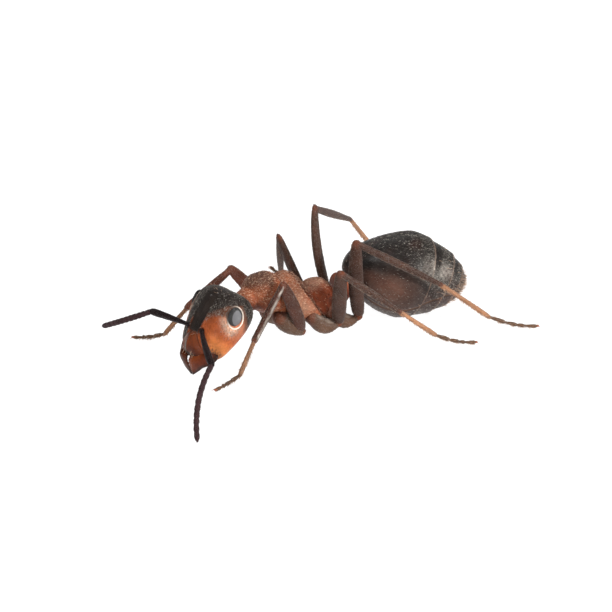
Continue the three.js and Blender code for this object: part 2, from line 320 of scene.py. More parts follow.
def turned(name, outline, around=14):
    """Spins an outline of (radius, height) corners, from pole to pole, round the upright axis."""
    fresh()
    bpy.ops.mesh.primitive_plane_add(size=1)
    obj = named(name)
    bpy.ops.object.mode_set(mode="EDIT")
    bpy.ops.mesh.select_all(action="SELECT")
    bpy.ops.mesh.merge(type="CENTER")
    bpy.ops.transform.translate(value=(outline[0][0], 0, outline[0][1]))
    for (near, low), (far, high) in zip(outline, outline[1:]):
        bpy.ops.mesh.extrude_region_move(
            TRANSFORM_OT_translate={"value": (far - near, 0, high - low)}
        )
    bpy.ops.mesh.select_all(action="SELECT")
    bpy.ops.mesh.spin(steps=around, angle=2 * math.pi, center=(0, 0, 0), axis=(0, 0, 1))
    bpy.ops.mesh.select_all(action="SELECT")
    bpy.ops.mesh.remove_doubles(threshold=1e-4)
    bpy.ops.mesh.normals_make_consistent(inside=False)
    bpy.ops.object.mode_set(mode="OBJECT")
    return obj


def joined(name, objects):
    """Several objects as one mesh."""
    pick(*objects)
    bpy.ops.object.join()
    return named(name)


def copied(obj, name):
    pick(obj)
    bpy.ops.object.duplicate(linked=False)
    return named(name)


class Line:
    """A limb's middle line, straight or bowed from one point to another, and the way it is thin."""

    def __init__(self, start, end, bow=(0, 0, 0), flat=(0, 0, 1)):
        self.start, self.end = np.asarray(start, float), np.asarray(end, float)
        self.bow = np.asarray(bow, float)
        self.length = np.linalg.norm(self.end - self.start)
        ahead = (self.end - self.start) / self.length
        side = unit(np.cross(np.asarray(flat, float) + 1e-3, ahead))
        self.axes = np.array([side, np.cross(ahead, side), ahead])

    def at(self, share):
        share = np.asarray(share, float)[..., None]
        bent = 4 * share * (1 - share) * self.bow
        return self.start + share * (self.end - self.start) + bent

    def way(self, share):
        step = 0.01
        return unit(self.at(share + step) - self.at(share - step))

    def lay(self, obj, thin=1.0):
        """Lays an upright form of the line's length along it, thinned along its flat direction."""
        spots = spots_of(obj)
        share = np.clip(spots[:, 2] / self.length, 0, 1)
        bent = (4 * share * (1 - share))[:, None] * self.bow
        spots = spots * np.array([1, thin, 1])
        move_spots(obj, self.start + spots @ self.axes + bent)
        return obj


def ringed(shape, radius):
    """A limb's stations from its shape, which is (share of the length, share of the radius)."""
    return [(share, radius * wide) for share, wide in shape]


def limb(name, line, stations, around, thin=1.0):
    """A turned limb: (share of the length, radius) stations, with rounded ends."""
    length = line.length
    (first, root), (last, tip) = stations[0], stations[-1]
    cap = math.sqrt(0.5)
    outline = [(0, first * length - root), (cap * root, first * length - cap * root)]
    outline += [(radius, share * length) for share, radius in stations]
    outline += [(cap * tip, last * length + cap * tip), (0, last * length + tip)]
    obj = smoother(turned(name, outline, around))
    return line.lay(obj, thin)


# ---- Surface marks, carried by each mesh for its material and its hairs ----
def paint(obj, tint, gloss, plush=0.0):
    """Stores a colour, a gloss and how furry the surface is on each vertex."""
    count = len(obj.data.vertices)
    colour = np.ones((count, 4))
    colour[:, :3] = np.broadcast_to(tint, (count, 3))
    layer = obj.data.attributes.new("tint", "FLOAT_COLOR", "POINT")
    layer.data.foreach_set("color", colour.ravel())
    for name, values in (("gloss", gloss), ("plush", plush)):
        layer = obj.data.attributes.new(name, "FLOAT", "POINT")
        layer.data.foreach_set("value", np.broadcast_to(np.asarray(values, float), count).copy())


def finish(obj, material, slot, *nodes):
    """Brings a piece to metres, gives it its finish and ties it to the frame."""
    obj.data.transform(Matrix.Scale(MM, 4))
    obj.data.materials.clear()
    obj.data.materials.append(material)
    pick(obj)
    bpy.ops.object.shade_smooth()
    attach(obj, "root")
    if nodes:
        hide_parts(*nodes)


# ---- Materials ----
class Wire:
    """A material's socket, so that shader maths reads as Python."""

    def __init__(self, shade, socket):
        self.shade = shade
        self.socket = socket

    def _math(self, operation, first, second):
        return self.shade.node("ShaderNodeMath", {"operation": operation}, {0: first, 1: second})

    def __add__(self, other):
        return self._math("ADD", self, other)

    def __radd__(self, other):
        return self._math("ADD", other, self)

    def __sub__(self, other):
        return self._math("SUBTRACT", self, other)

    def __rsub__(self, other):
        return self._math("SUBTRACT", other, self)

    def __mul__(self, other):
        return self._math("MULTIPLY", self, other)

    def __rmul__(self, other):
        return self._math("MULTIPLY", other, self)


class Shade:
    """One material and the nodes that make it."""

    def __init__(self, name):
        self.material = bpy.data.materials.new(name)
        self.material.use_nodes = True
        self.tree = self.material.node_tree
        self.tree.nodes.clear()

    def node(self, kind, settings=None, inputs=None, output=0):
        made = self.tree.nodes.new(kind)
        for key, value in (settings or {}).items():
            setattr(made, key, value)
        for key, value in (inputs or {}).items():
            if isinstance(value, Wire):
                self.tree.links.new(value.socket, made.inputs[key])
            else:
                made.inputs[key].default_value = value
        return Wire(self, made.outputs[output]) if made.outputs else made

    def mark(self, name, output="Fac"):
        return self.node("ShaderNodeAttribute", {"attribute_name": name}, output=output)

    def spots(self):
        """Object coordinates in millimetres."""
        return self.scaled(self.node("ShaderNodeTexCoord", output="Object"), 1 / MM)

    def seated(self, seat, scales):
        """Coordinates along a seat's own directions, each with its scale."""
        place = self.spots()
        parts = {}
        for index, (axis, scale) in enumerate(zip(seat.axes, scales)):
            parts[index] = self.node(
                "ShaderNodeVectorMath",
                {"operation": "DOT_PRODUCT"},
                {0: place, 1: tuple(axis * scale)},
                output="Value",
            )
        return self.node("ShaderNodeCombineXYZ", inputs=parts)

    def noise(self, place, scale, detail=2.0):
        return self.node(
            "ShaderNodeTexNoise", inputs={"Vector": place, "Scale": scale, "Detail": detail}
        )

    def net(self, place, scale):
        """How far a spot is from the borders of a net of cells."""
        return self.node(
            "ShaderNodeTexVoronoi", {"feature": "DISTANCE_TO_EDGE"}, {"Vector": place, "Scale": scale}
        )

    def step(self, value, low, high):
        """A smooth step from 0 at low to 1 at high."""
        return self.node(
            "ShaderNodeMapRange",
            {"interpolation_type": "SMOOTHSTEP"},
            {"Value": value, "From Min": low, "From Max": high},
        )

    def mix(self, share, low, high):
        """A colour between two, through the Mix node's sockets for colours."""
        factor, first, second, result = 0, 6, 7, 2
        low, high = (tone if isinstance(tone, Wire) else (*tone, 1) for tone in (low, high))
        return self.node(
            "ShaderNodeMix", {"data_type": "RGBA"}, {factor: share, first: low, second: high}, result
        )

    def scaled(self, colour, scale):
        return self.node(
            "ShaderNodeVectorMath", {"operation": "SCALE"}, {0: colour, "Scale": scale}
        )

    def bump(self, height, depth):
        """A bump whose height of 1 stands that many millimetres proud."""
        return self.node(
            "ShaderNodeBump", inputs={"Height": height, "Distance": depth * MM, "Strength": 1.0}
        )

    def surface(self, **inputs):
        values = {key.replace("_", " "): value for key, value in inputs.items()}
        shader = self.node("ShaderNodeBsdfPrincipled", inputs=values)
        self.node("ShaderNodeOutputMaterial", inputs={"Surface": shader})
        return self.material


# Patterns of the cuticle: how many features lie along a millimetre, and how finely they break up
CLOUDS = {"scale": 2.4, "detail": 5.0}
FLECKS = {"scale": 21.0, "detail": 3.0}
STRANDS = {"scale": 34.0, "detail": 3.0}
STRAND_STRETCH = (0.45, 1.0, 1.0)  # the strands run along the body
NET_SCALE = 34.0
SCULPTURE = 0.006  # how proud the patterns stand, in millimetres
GLOW_REACH = (0.00022, 0.00009, 0.00004)  # how far red, green and blue light runs inside, in metres


def cuticle(name, seat, down, grain=1.0, glow=0.0, shine=0.3, painted_sparkle=0.3):
    """Ant cuticle: fine net-like sculpture, cloudy colour, and short flat down where it is furry, whose
    brightest strands are painted glints.

    The marks tint, gloss and plush come from the mesh. Down is the colour of the flat hairs, and painted
    sparkle says how strongly their painted glints show.
    """
    shade = Shade(name)
    place = shade.spots()
    tint, gloss, plush = (
        shade.mark("tint", "Color"), shade.mark("gloss"), shade.mark("plush"),
    )
    clouds = shade.noise(place, **CLOUDS)
    flecks = shade.noise(place, **FLECKS)
    strands = shade.noise(shade.seated(seat, STRAND_STRETCH), **STRANDS)
    # the brightest strands of the down, painted in the down's pale colour as glints
    down_and_painted_glint = shade.step(strands, 0.58, 0.68) * plush
    colour = shade.mix(
        shade.step(clouds * 0.7 + flecks * 0.3, 0.36, 0.66),
        shade.scaled(tint, 0.74),
        shade.scaled(tint, 1.2),
    )
    colour = shade.mix(down_and_painted_glint * painted_sparkle, colour, down)
    net = shade.step(shade.net(place, NET_SCALE), 0.0, 0.16)
    height = net * (0.5 * grain) + flecks * (0.6 * grain) + strands * plush * 1.6
    return shade.surface(
        Base_Color=colour,
        Roughness=0.52 - gloss * 0.3 + flecks * 0.12 + plush * 0.05,
        Normal=shade.bump(height, SCULPTURE),
        Subsurface_Weight=glow,
        Subsurface_Radius=GLOW_REACH,
        Subsurface_Scale=1.0,
        Specular_IOR_Level=shine,
    )


def hair_finish(name):
    """A single stiff hair: its own colour, varied at random, with a silky gloss."""
    shade = Shade(name)
    tint = shade.mark("tint", "Color")
    wave = shade.noise(shade.spots(), 26.0)
    return shade.surface(
        Base_Color=shade.mix(wave, shade.scaled(tint, 0.8), shade.scaled(tint, 1.25)),
        Roughness=0.3 + wave * 0.15,
        Specular_IOR_Level=0.5,
    )


def eye_finish(name):
    """A compound eye: dark glossy lenses whose tint carries a painted reflection of a pale sky in the middle,
    black at the rim.
    """
    shade = Shade(name)
    tint = shade.mark("tint", "Color")
    flecks = shade.noise(shade.spots(), 60.0)
    return shade.surface(
        Base_Color=shade.mix(flecks, shade.scaled(tint, 0.85), shade.scaled(tint, 1.15)),
        Roughness=0.28 + flecks * 0.14,
        Coat_Weight=0.2,
        Coat_Roughness=0.15,
    )


# ---- Settings that a user would change ----
def length(name, description, millimetres):
    return FloatProperty(
        name=name, description=description, default=millimetres * MM, unit="LENGTH", precision=5
    )


def colour(name, description, value):
    return FloatVectorProperty(
        name=name, description=description, default=value, size=3, min=0, max=1, subtype="COLOR"
    )


class AntSizes(bpy.types.PropertyGroup):
    """Sizes of the worker's main forms."""

    head_length: length("Head length", "From the mouth to the back of the head", 1.89)
    head_width: length("Head width", "Across the head behind the eyes", 1.88)
    head_depth: length("Head depth", "From the face to the throat", 1.36)
    eye_length: length("Eye length", "Long axis of a compound eye", 0.53)
    eye_width: length("Eye width", "Short axis of a compound eye", 0.38)
    gaster_length: length("Gaster length", "From the waist to the tip", 3.56)
    gaster_width: length("Gaster width", "Across the gaster", 2.1)
    gaster_height: length("Gaster height", "From the belly to the back", 2.38)
    femur_thickness: length("Femur thickness", "Across the thickest part of a femur", 0.4)
    tibia_thickness: length("Tibia thickness", "Across the thickest part of a tibia", 0.22)
    tarsus_thickness: length("Tarsus thickness", "Across the first joint of a foot", 0.125)
    feeler_thickness: length("Feeler thickness", "Across the beads of a feeler", 0.16)


class AntFinishes(bpy.types.PropertyGroup):
    """Colours of the cuticle, the eyes and the hairs."""

    rust: colour("Rust", "Cheeks and pronotum", (0.42, 0.095, 0.028))
    amber: colour("Amber", "Thin cuticle that lets light through", (0.62, 0.22, 0.06))
    mahogany: colour("Mahogany", "Mandibles and the sides of the propodeum", (0.16, 0.034, 0.014))
    umber: colour("Umber", "Legs", (0.066, 0.036, 0.024))
    plum: colour("Plum", "Feelers", (0.052, 0.026, 0.028))
    soot: colour("Soot", "Top of the head and the gaster", (0.024, 0.017, 0.014))
    tan: colour("Tan", "Feet and clear margins", (0.36, 0.17, 0.085))
    # the lens colour is a painted reflection of a pale sky on the middle of each compound eye
    lens: colour("Lens", "Middle of the compound eyes", (0.11, 0.107, 0.112))
    rim: colour("Eye rim", "Ring round the compound eyes", (0.7, 0.6, 0.5))
    silver: colour("Silver down", "Flat hairs on dark cuticle", (0.42, 0.38, 0.33))
    gold: colour("Gold down", "Flat hairs on red cuticle", (0.72, 0.47, 0.32))
    hair_density: FloatProperty(
        name="Hair density", description="Share of the full number of hairs", default=1.0, min=0.0
    )
    eye_lenses: IntProperty(
        name="Lens rows", description="Subdivisions of the ball that spaces the lenses", default=5
    )


def sizes():
    """The size settings in millimetres."""
    group = bpy.context.scene.ant_sizes
    return {key: getattr(group, key) / MM for key in group.__annotations__}


def tints():
    group = bpy.context.scene.ant_finishes
    return {
        key: np.array(getattr(group, key))
        for key in group.__annotations__
        if key not in ("hair_density", "eye_lenses")
    }


# ---- The head ----
HEAD_FINE = (256, 176)
CLYPEUS = {"top": 0.46, "front": 0.9, "top_half": 0.15, "front_half": 0.46, "lip": 0.1}
CARINA = {"front": (0.46, 0.2), "back": (0.02, 0.24)}
CAP = {"brow": -0.06, "frons_half": 0.21, "frons_end": 0.47, "temple": -0.43}  # where it ends
KEEL = -0.03  # the shield's middle ridge
OCELLI = ((-0.55, 0.0), (-0.68, 0.13), (-0.68, -0.13))
OCELLUS = [(0, -0.03), (0.03, -0.02), (0.036, 0.0), (0.022, 0.02), (0, 0.026)]
ABOVE = 3.0  # where a line that is dropped on the head starts


def head_shape(a, l, u):
    """Seen from the front the head is widest behind the eyes and narrows a little to the mouth."""
    ring = np.sqrt(np.maximum(1 - a * a, 1e-9))
    back = (1 - np.clip(-a, 0, 1) ** 4.1) ** 0.38
    fore = (1 - np.clip(a, 0, 1) ** 5.9) ** 0.345
    full = np.where(a < 0, back, fore) / ring
    front = ease(a, -0.3, 1)
    throat = 1 - (0.14 + 0.22 * front) * ease(-u, -0.1, 0.25)
    return a, l * full * (1 - 0.21 * front), u * full * (1 - 0.15 * front) * throat


def clypeus_inside(spots):
    """How far a spot lies inside the clypeus, the shield above the mandibles."""
    ahead, left, _ = spots.T
    share = ease(ahead, CLYPEUS["top"], CLYPEUS["front"])
    half = CLYPEUS["top_half"] + share * (CLYPEUS["front_half"] - CLYPEUS["top_half"])
    return np.minimum(0.85 * (half - np.abs(left)), 0.8 * (ahead - CLYPEUS["top"]))


def from_carina(spots):
    """Distance from the ridge that runs back beside each feeler's socket."""
    (front_ahead, front_out), (back_ahead, back_out) = CARINA["front"], CARINA["back"]
    run = np.array([back_ahead - front_ahead, back_out - front_out])
    place = np.stack([spots[:, 0] - front_ahead, np.abs(spots[:, 1]) - front_out], axis=1)
    share = np.clip(place @ run / (run @ run), 0, 1)
    return np.linalg.norm(place - share[:, None] * run, axis=1)


def from_socket(spots):
    return np.hypot(spots[:, 0] - SOCKET["ahead"], np.abs(spots[:, 1]) - SOCKET["out"])


def eye_seat(side):
    """The eye's long axis runs towards the mouth and down, and it looks out and a little up."""
    return Seat(
        HEAD_SEAT.place((EYE["ahead"], side * EYE["out"], EYE["face"])),
        HEAD_SEAT.way(0.9, side * 0.1, -0.4),
        HEAD_SEAT.way(0.1, side * 0.92, 0.34),
    )


def eye_ring(points, size):
    """How far out a point is from each eye's middle, where 1 is the eye's edge; the nearer eye counts."""
    rings = []
    for side in SIDES.values():
        along, across, proud = eye_seat(side).local(points).T
        ring = np.hypot(along / (size["eye_length"] / 2), across / (size["eye_width"] / 2))
        rings.append(np.where(proud > -0.3, ring, 9.0))
    return np.minimum(*rings)


def with_lip(points):
    """The shield's front edge reaches out over the mandibles."""
    ahead, left, face = HEAD_SEAT.local(points).T
    lip = ease(face, 0.06, 0.3) * ease(-np.abs(left), -0.52, -0.2) * ease(ahead, 0.55, 0.9)
    return points + (CLYPEUS["lip"] * lip)[:, None] * HEAD_SEAT.axes[0]


def head_relief(points, size):
    """How far the head's details stand proud of its plain form."""
    spots = HEAD_SEAT.local(points)
    ahead, left, face = spots.T
    upper = ease(face, 0.0, 0.18)
    inside = clypeus_inside(spots)
    shield = ease(inside, 0.0, 0.16)
    height = 0.04 * shield - 0.018 * hump(inside, 0.018) * ease(ahead, 0.4, 0.5)
    height += 0.022 * hump(left - KEEL, 0.03) * shield
    height += 0.035 * hump(from_carina(spots), 0.026)
    away = from_socket(spots)
    height += 0.014 * hump(away - 0.095, 0.022) - 0.05 * hump(away, 0.055)
    height -= 0.006 * hump(left, 0.014) * ease(ahead, -0.5, -0.3) * ease(-ahead, -0.4, -0.3)
    ring = eye_ring(points, size)
    height += 0.014 * hump(ring - 1.42, 0.2) - 0.012 * hump(ring - 1.1, 0.07)
    height = height * upper
    height += 0.004 * ripple(spots, 0.3, 1)
    return height - 0.03 * hump(left, 0.3) * ease(-ahead, 0.7, 0.95)


def head_cap(spots, edge):
    """How dark the cap is, its part that runs down the frons, and the dusk that surrounds it. On the right
    side the cap and its dusk reach lower, as painted shade.
    """
    ahead, left, face = spots.T
    out = np.abs(left)
    # the right side of the head is darkened as painted shade
    painted_far_side_shade = ease(-left, 0.1, 0.36) - ease(-left, 0.46, 0.62)
    brow = CAP["brow"] - 1.05 * (out - CAP["frons_half"]) + painted_far_side_shade
    limit = np.maximum(brow, np.minimum(CAP["temple"] - 1.1 * face, -0.3)) - ahead + edge
    frons = ease(CAP["frons_half"] - out + 0.4 * edge, -0.03, 0.02)
    frons = frons * ease(CAP["frons_end"] - ahead + 0.5 * edge, -0.03, 0.03) * ease(face, 0.1, 0.3)
    cap = np.maximum(ease(limit, -0.05, 0.06), frons)
    beside_frons = ease(CAP["frons_half"] + 0.07 - out, -0.03, 0.03) * frons
    before_eye = -0.1 - 0.28 * (out - 0.3) - ahead + edge
    before_eye = ease(before_eye, -0.05, 0.06) * ease(face, 0.2, 0.34)
    dusk = np.maximum(np.maximum(ease(limit, -0.26, -0.04), beside_frons), before_eye)
    return cap, frons, dusk


def cheek_skin(spots, edge, fine, rose):
    """Rusty cheeks: amber towards the mandibles, brown below and behind, and a pale rosy ring round the eyes
    that is pale down and a painted highlight.
    """
    tint = tints()
    ahead, left, face = spots.T
    out = np.abs(left)
    warm = ease(ahead - 0.25 * out + 0.2 * edge, 0.0, 0.45) * ease(out, 0.35, 0.7)
    upper = hump(np.hypot(ahead / 0.26, (out - 0.45) / 0.24), 0.8) * ease(face, 0.2, 0.4)
    skin = blend(0.65 * warm, tint["rust"] * (0.88 + 0.25 * fine)[:, None], tint["amber"])
    back = ease(out, 0.82, 0.93) * ease(-face, -0.2, 0.0)
    return layered(
        skin * (1 - 0.3 * upper)[:, None],
        (0.6 * ease(-face, 0.1, 0.5), tint["mahogany"] * 1.5),
        # pale rosy ring round the eyes: pale down with a painted highlight
        (0.7 * rose * (0.8 + 0.6 * fine), tint["gold"] * 0.85 + tint["silver"] * 0.35),
        (0.4 * back, tint["umber"] * 2 + tint["gold"] * 0.2),
    )


def shield_skin(spots):
    """The clypeus: rusty, darker to its edge, with a painted shadow beside the ridge and a painted sheen on
    its right half.
    """
    tint = tints()
    ahead, left, _ = spots.T
    mid = left - KEEL
    painted_sheen = hump(mid + 0.15 - 0.1 * ease(ahead, 0.6, 0.95), 0.05) * ease(ahead, 0.44, 0.56)
    return layered(
        blend(ease(ahead, 0.7, 1.0), tint["rust"] * 0.42, tint["mahogany"] * 0.5),
        # a dark line beside the middle ridge, painted as its shadow
        (0.8 * hump(mid + 0.03, 0.028), tint["soot"]),
        # a painted sheen of reflected light on the right half
        (0.6 * painted_sheen, tint["silver"] * 0.5),
    )


def head_marks(points, size):
    """The dark cap of the head, its rusty cheeks and shield: a colour, a gloss and the down."""
    tint = tints()
    spots = HEAD_SEAT.local(points)
    ahead, left, face = spots.T
    out = np.abs(left)
    coarse, fine = ripple(spots, 0.14, 2), ripple(spots, 0.035, 3)
    edge = 0.035 * coarse + 0.03 * fine
    cap, frons, dusk = head_cap(spots, edge)
    # a pale rosy ring round the eyes: pale down with a painted highlight
    rose = hump(eye_ring(points, size) - 1.45, 0.5) * ease(ahead, -0.4, 0.0) * ease(face, 0.0, 0.15)
    inside = clypeus_inside(spots)
    seam = hump(inside - 0.004, 0.02) * ease(ahead, 0.42, 0.5) * ease(face, 0, 0.2)
    mouth = ease(ahead, 1.0, 1.03) * ease(face, 0.0, 0.2)
    corner = ease(ahead + 0.1 * fine, 0.6, 0.78) * ease(out, 0.46, 0.58) * ease(face, -0.2, 0.1)
    carina = hump(from_carina(spots), 0.022) * ease(ahead, 0.1, 0.2)
    skin = layered(
        cheek_skin(spots, edge, fine, rose),
        (ease(inside, 0.0, 0.03), shield_skin(spots)),
        (0.7 * seam, tint["soot"]),
        (0.9 * mouth, tint["soot"]),
        (0.85 * corner, tint["soot"] * 1.6),
        (0.92 * dusk * (1 - ease(inside, 0, 0.05)), tint["umber"] * 0.95 + tint["rust"] * 0.08),
        (cap, tint["soot"] * (1 + 0.3 * coarse)[:, None]),
        (0.8 * carina, tint["rust"] * 0.5),
        # darkness in each feeler's socket, painted as the shade in its pit
        (hump(from_socket(spots), 0.09), tint["soot"] * 0.5),
    )
    down = cap * ease(face, -0.5, 0.1) * (0.35 + 0.3 * coarse) * (1 - frons)
    fuzz = dusk * (1 - cap) * ease(face, 0.0, 0.2)
    plush = np.clip(down + 0.55 * fuzz + 1.1 * rose, 0, 1)
    gloss = np.clip(0.95 - 0.5 * cap - 0.2 * rose, 0, 1)
    return skin, gloss, plush


def build_head(size):
    tint = tints()
    shell = (size["head_length"], size["head_width"], size["head_depth"])
    head = pod("head_capsule", HEAD_SEAT, shell, head_shape, HEAD_FINE)
    swell(head, head_relief(spots_of(head), size))
    move_spots(head, with_lip(spots_of(head)))
    paint(head, *head_marks(spots_of(head), size))
    look = cuticle(
        "head_cuticle", HEAD_SEAT, tint["silver"] * 1.4, glow=0.06, shine=0.12, painted_sparkle=0.75
    )
    finish(head, look, "cuticle_rust", "head")

    beads = []
    tree = tree_of(head)
    for index, (ahead, left) in enumerate(OCELLI):
        spot, normal = dropped(tree, HEAD_SEAT, (ahead, left))
        bead = turned(f"ocellus_{index}", OCELLUS)
        seat = Seat(spot, HEAD_SEAT.axes[0], normal)
        move_spots(smoother(bead), seat.place(spots_of(bead)))
        beads.append(bead)
    ocelli = joined("ocelli", beads)
    paint(ocelli, tint["soot"], 1.0)
    finish(ocelli, eye_finish("ocellus_lens"), "eye_facets")


def tree_of(obj):
    """A finished piece's faces in millimetres, to drop points on."""
    faces = [tuple(polygon.vertices) for polygon in obj.data.polygons]
    return BVHTree.FromPolygons((spots_of(obj) / MM).tolist(), faces)


def dropped(tree, seat, spot):
    """Where a line straight down onto a seat meets a surface, and the surface's normal there."""
    start = seat.place((*spot, ABOVE))
    place, normal, _, _ = tree.ray_cast(Vector(start), Vector(-seat.axes[2]))
    if place is None:
        raise RuntimeError(f"nothing lies under {spot}")
    return np.array(place), np.array(normal)


# ---- The eyes ----
LENS_HEIGHT = 0.004
EYE_PROUD = 0.085
EYE_CUT = -0.45  # where the ball of the eye is cut off, as a share of how far it stands proud
BRIM_SPOTS = 12
RIM = {"around": 96, "across": 10, "half_width": 0.02, "half_height": 0.016, "lift": 0.004}


def build_eyes(size):
    tint = tints()
    head_tree = tree_of(bpy.data.objects["head_capsule"])
    rows = bpy.context.scene.ant_finishes.eye_lenses
    fresh()
    bpy.ops.mesh.primitive_ico_sphere_add(subdivisions=rows, radius=1)
    spacer = named("lens_spacer")
    centres = spots_of(spacer)
    bpy.data.objects.remove(spacer)
    near = KDTree(len(centres))
    for index, centre in enumerate(centres):
        near.insert(centre, index)
    near.balance()
    pitch = math.sqrt(4 * math.pi / len(centres))
    half = np.array([size["eye_length"] / 2, size["eye_width"] / 2, EYE_PROUD])
    brim = [
        dropped(head_tree, eye_seat(1), half[:2] * (math.cos(turn), math.sin(turn)))[0]
        for turn in np.linspace(0, 2 * math.pi, BRIM_SPOTS, endpoint=False)
    ]
    sill = eye_seat(1).local(np.array(brim))[:, 2].mean()

    fresh()
    bpy.ops.mesh.primitive_ico_sphere_add(subdivisions=rows + 2, radius=1)
    lens = named("lens_dome")
    bpy.ops.object.mode_set(mode="EDIT")
    bpy.ops.mesh.select_all(action="SELECT")
    bpy.ops.mesh.bisect(
        plane_co=(0, 0, EYE_CUT), plane_no=(0, 0, 1), clear_inner=True, use_fill=True, threshold=1e-5
    )
    bpy.ops.object.mode_set(mode="OBJECT")
    dome = spots_of(lens)
    gap = np.array([near.find(spot)[2] for spot in dome])
    raised = 1 + (LENS_HEIGHT / EYE_PROUD) * np.clip(1 - (gap / (0.52 * pitch)) ** 2, 0, 1)
    dome = dome * raised[:, None] * half + (0, 0, sill)

    look = eye_finish("compound_eye")
    rim_look = cuticle("eye_rim", HEAD_SEAT, tint["gold"], grain=0.3)
    for name, side in SIDES.items():
        seat = eye_seat(side)
        eye = copied(lens, f"compound_eye_{name}")
        move_spots(eye, seat.place(dome))
        along, across, _ = (dome / half).T
        # the pale middle of each eye is a painted reflection of the sky
        painted_sky_reflection = ease(-np.hypot((along + 0.02) / 0.76, (across - 0.13) / 0.66), -1.06, -0.88)
        paint(eye, blend(painted_sky_reflection, tint["soot"] * 0.25, tint["lens"]), 1.0)
        finish(eye, look, "eye_facets", f"eye_{name}")
        build_rim(name, seat, size, head_tree, rim_look)
    bpy.data.objects.remove(lens)


def build_rim(name, seat, size, tree, look):
    """The pale ring of cuticle that an eye sits in, darker along its back."""
    fresh()
    bpy.ops.mesh.primitive_torus_add(
        major_segments=RIM["around"], minor_segments=RIM["across"], major_radius=1, minor_radius=0.5
    )
    ring = named(f"eye_rim_{name}")
    spots = spots_of(ring)
    turn = np.arctan2(spots[:, 1], spots[:, 0])
    thick = 2 * (np.hypot(spots[:, 0], spots[:, 1]) - 1) * RIM["half_width"]
    level = 2 * spots[:, 2] * RIM["half_height"] + RIM["lift"]
    reach = np.array([size["eye_length"] / 2, size["eye_width"] / 2]) + 0.8 * RIM["half_width"]
    points = []
    for angle, outward, upward in zip(turn, thick, level):
        way = np.array([math.cos(angle), math.sin(angle)])
        place, normal = dropped(tree, seat, reach * way)
        points.append(place + seat.way(*way, 0) * outward + normal * upward)
    move_spots(ring, np.array(points))
    tint = tints()
    clear = ease(np.cos(turn - math.radians(58)), -0.9, 0.2)
    paint(ring, blend(clear, tint["umber"] + tint["silver"] * 0.15, tint["rim"]), 0.7)
    finish(ring, look, "cuticle_tan")


# ---- The mandibles ----
MANDIBLE = {
    "start": 0.68, "reach": 0.79, "level": 0.28, "tilt": 0.3, "droop": 0.3,
    "teeth": 8, "tooth": 0.022, "toothed": 0.55,
    "outer": {
        "left": (
            (0, 0.62), (0.12, 0.7), (0.34, 0.69), (0.47, 0.63),
            (0.61, 0.52), (0.75, 0.36), (0.89, 0.15), (1, 0.05),
        ),
        "right": (
            (0, 0.66), (0.12, 0.6), (0.34, 0.5), (0.47, 0.44),
            (0.61, 0.39), (0.75, 0.38), (0.89, 0.37), (1, 0.08),
        ),
    },
    "inner": ((0, 0.3), (0.25, 0.15), (0.42, 0.01), (0.6, 0.0), (0.8, 0.0), (0.93, 0.01), (1, 0.02)),
    "thick": ((0, 0.12), (0.3, 0.11), (0.6, 0.08), (0.85, 0.06), (1, 0.03)),
}
GAPE = {"left": (0.01, 0.08), "right": (0.08, -0.04)}  # each blade's way off the middle, at root and tip
MANDIBLE_PAINTED_SHADE = {"left": 0.72, "right": 0.25}  # how bright each blade is painted: the right blade is darkened as painted shade


def mandible_place(a, l, u, name):
    """A curved blade: broad and thick at the cheek, with teeth along its thin inner edge."""
    side, (near, far) = SIDES[name], GAPE[name]
    ring = np.sqrt(np.maximum(1 - a * a, 1e-9))
    share = (1 + a) / 2
    across, proud = l / ring, u / ring
    outer, inner = between(MANDIBLE["outer"][name], share), between(MANDIBLE["inner"], share)
    toothed = ease(share, 0.4, 0.46) * ease(-share, -0.97, -0.9)
    saw = 1 - np.abs(2 * ((share * MANDIBLE["teeth"] / MANDIBLE["toothed"]) % 1) - 1)
    inner = inner - MANDIBLE["tooth"] * toothed * saw
    mid, half = (outer + inner) / 2, (outer - inner) / 2
    out = mid + half * across
    thick = between(MANDIBLE["thick"], share) * (0.62 + 0.38 * across)
    round_off = np.sqrt(np.maximum(1 - across ** 2, 0))
    arch = 0.09 * (1 - across ** 2) * np.sin(math.pi * np.clip(share, 0, 1)) ** 0.7
    level = MANDIBLE["level"] - MANDIBLE["tilt"] * out + arch - MANDIBLE["droop"] * ease(share, 0.55, 1.02)
    up = level + np.sign(proud) * round_off * thick * (1 - ease(share, 0.9, 1.0) * 0.5)
    ahead = MANDIBLE["start"] + MANDIBLE["reach"] * share
    opened = near + (far - near) * ease(share, 0.68, 0.92)
    up += 0.03 * side * ease(share, 0.55, 0.75)
    return np.stack([ahead, side * (out + opened), up], axis=1)


def build_mandibles():
    tint = tints()
    look = cuticle("mandible_cuticle", HEAD_SEAT, tint["gold"], grain=0.5, shine=0.1)
    for name, side in SIDES.items():
        blade = ball(f"mandible_blade_{name}", 48, 110)
        a, l, u = spots_of(blade)[:, [2, 0, 1]].T
        spots = mandible_place(a, l, u, name)
        if side < 0:
            turn_round(blade)
        share, across = (1 + a) / 2, l / np.sqrt(np.maximum(1 - a * a, 1e-9))
        edge = np.maximum(ease(-across, 0.8, 0.98), ease(share, 0.86, 0.97))
        skin = layered(
            blend(ease(across, -0.3, 0.6), tint["rust"] * 0.6, tint["mahogany"] * 0.9),
            (0.7 * ease(-share, -0.42, -0.2), tint["mahogany"] * 0.4),
            (0.85 * edge, tint["soot"]),
            (0.7 * ease(across, 0.7, 0.95), tint["soot"]),
        )
        move_spots(blade, HEAD_SEAT.place(spots))
        swell(blade, 0.0025 * np.sin(across * 38 + 3 * np.sin(share * 9)) * (1 - edge))
        # the right blade is painted darker, as shade
        paint(blade, skin * MANDIBLE_PAINTED_SHADE[name], 0.95)
        finish(blade, look, "cuticle_mahogany", f"mandible_{name}")


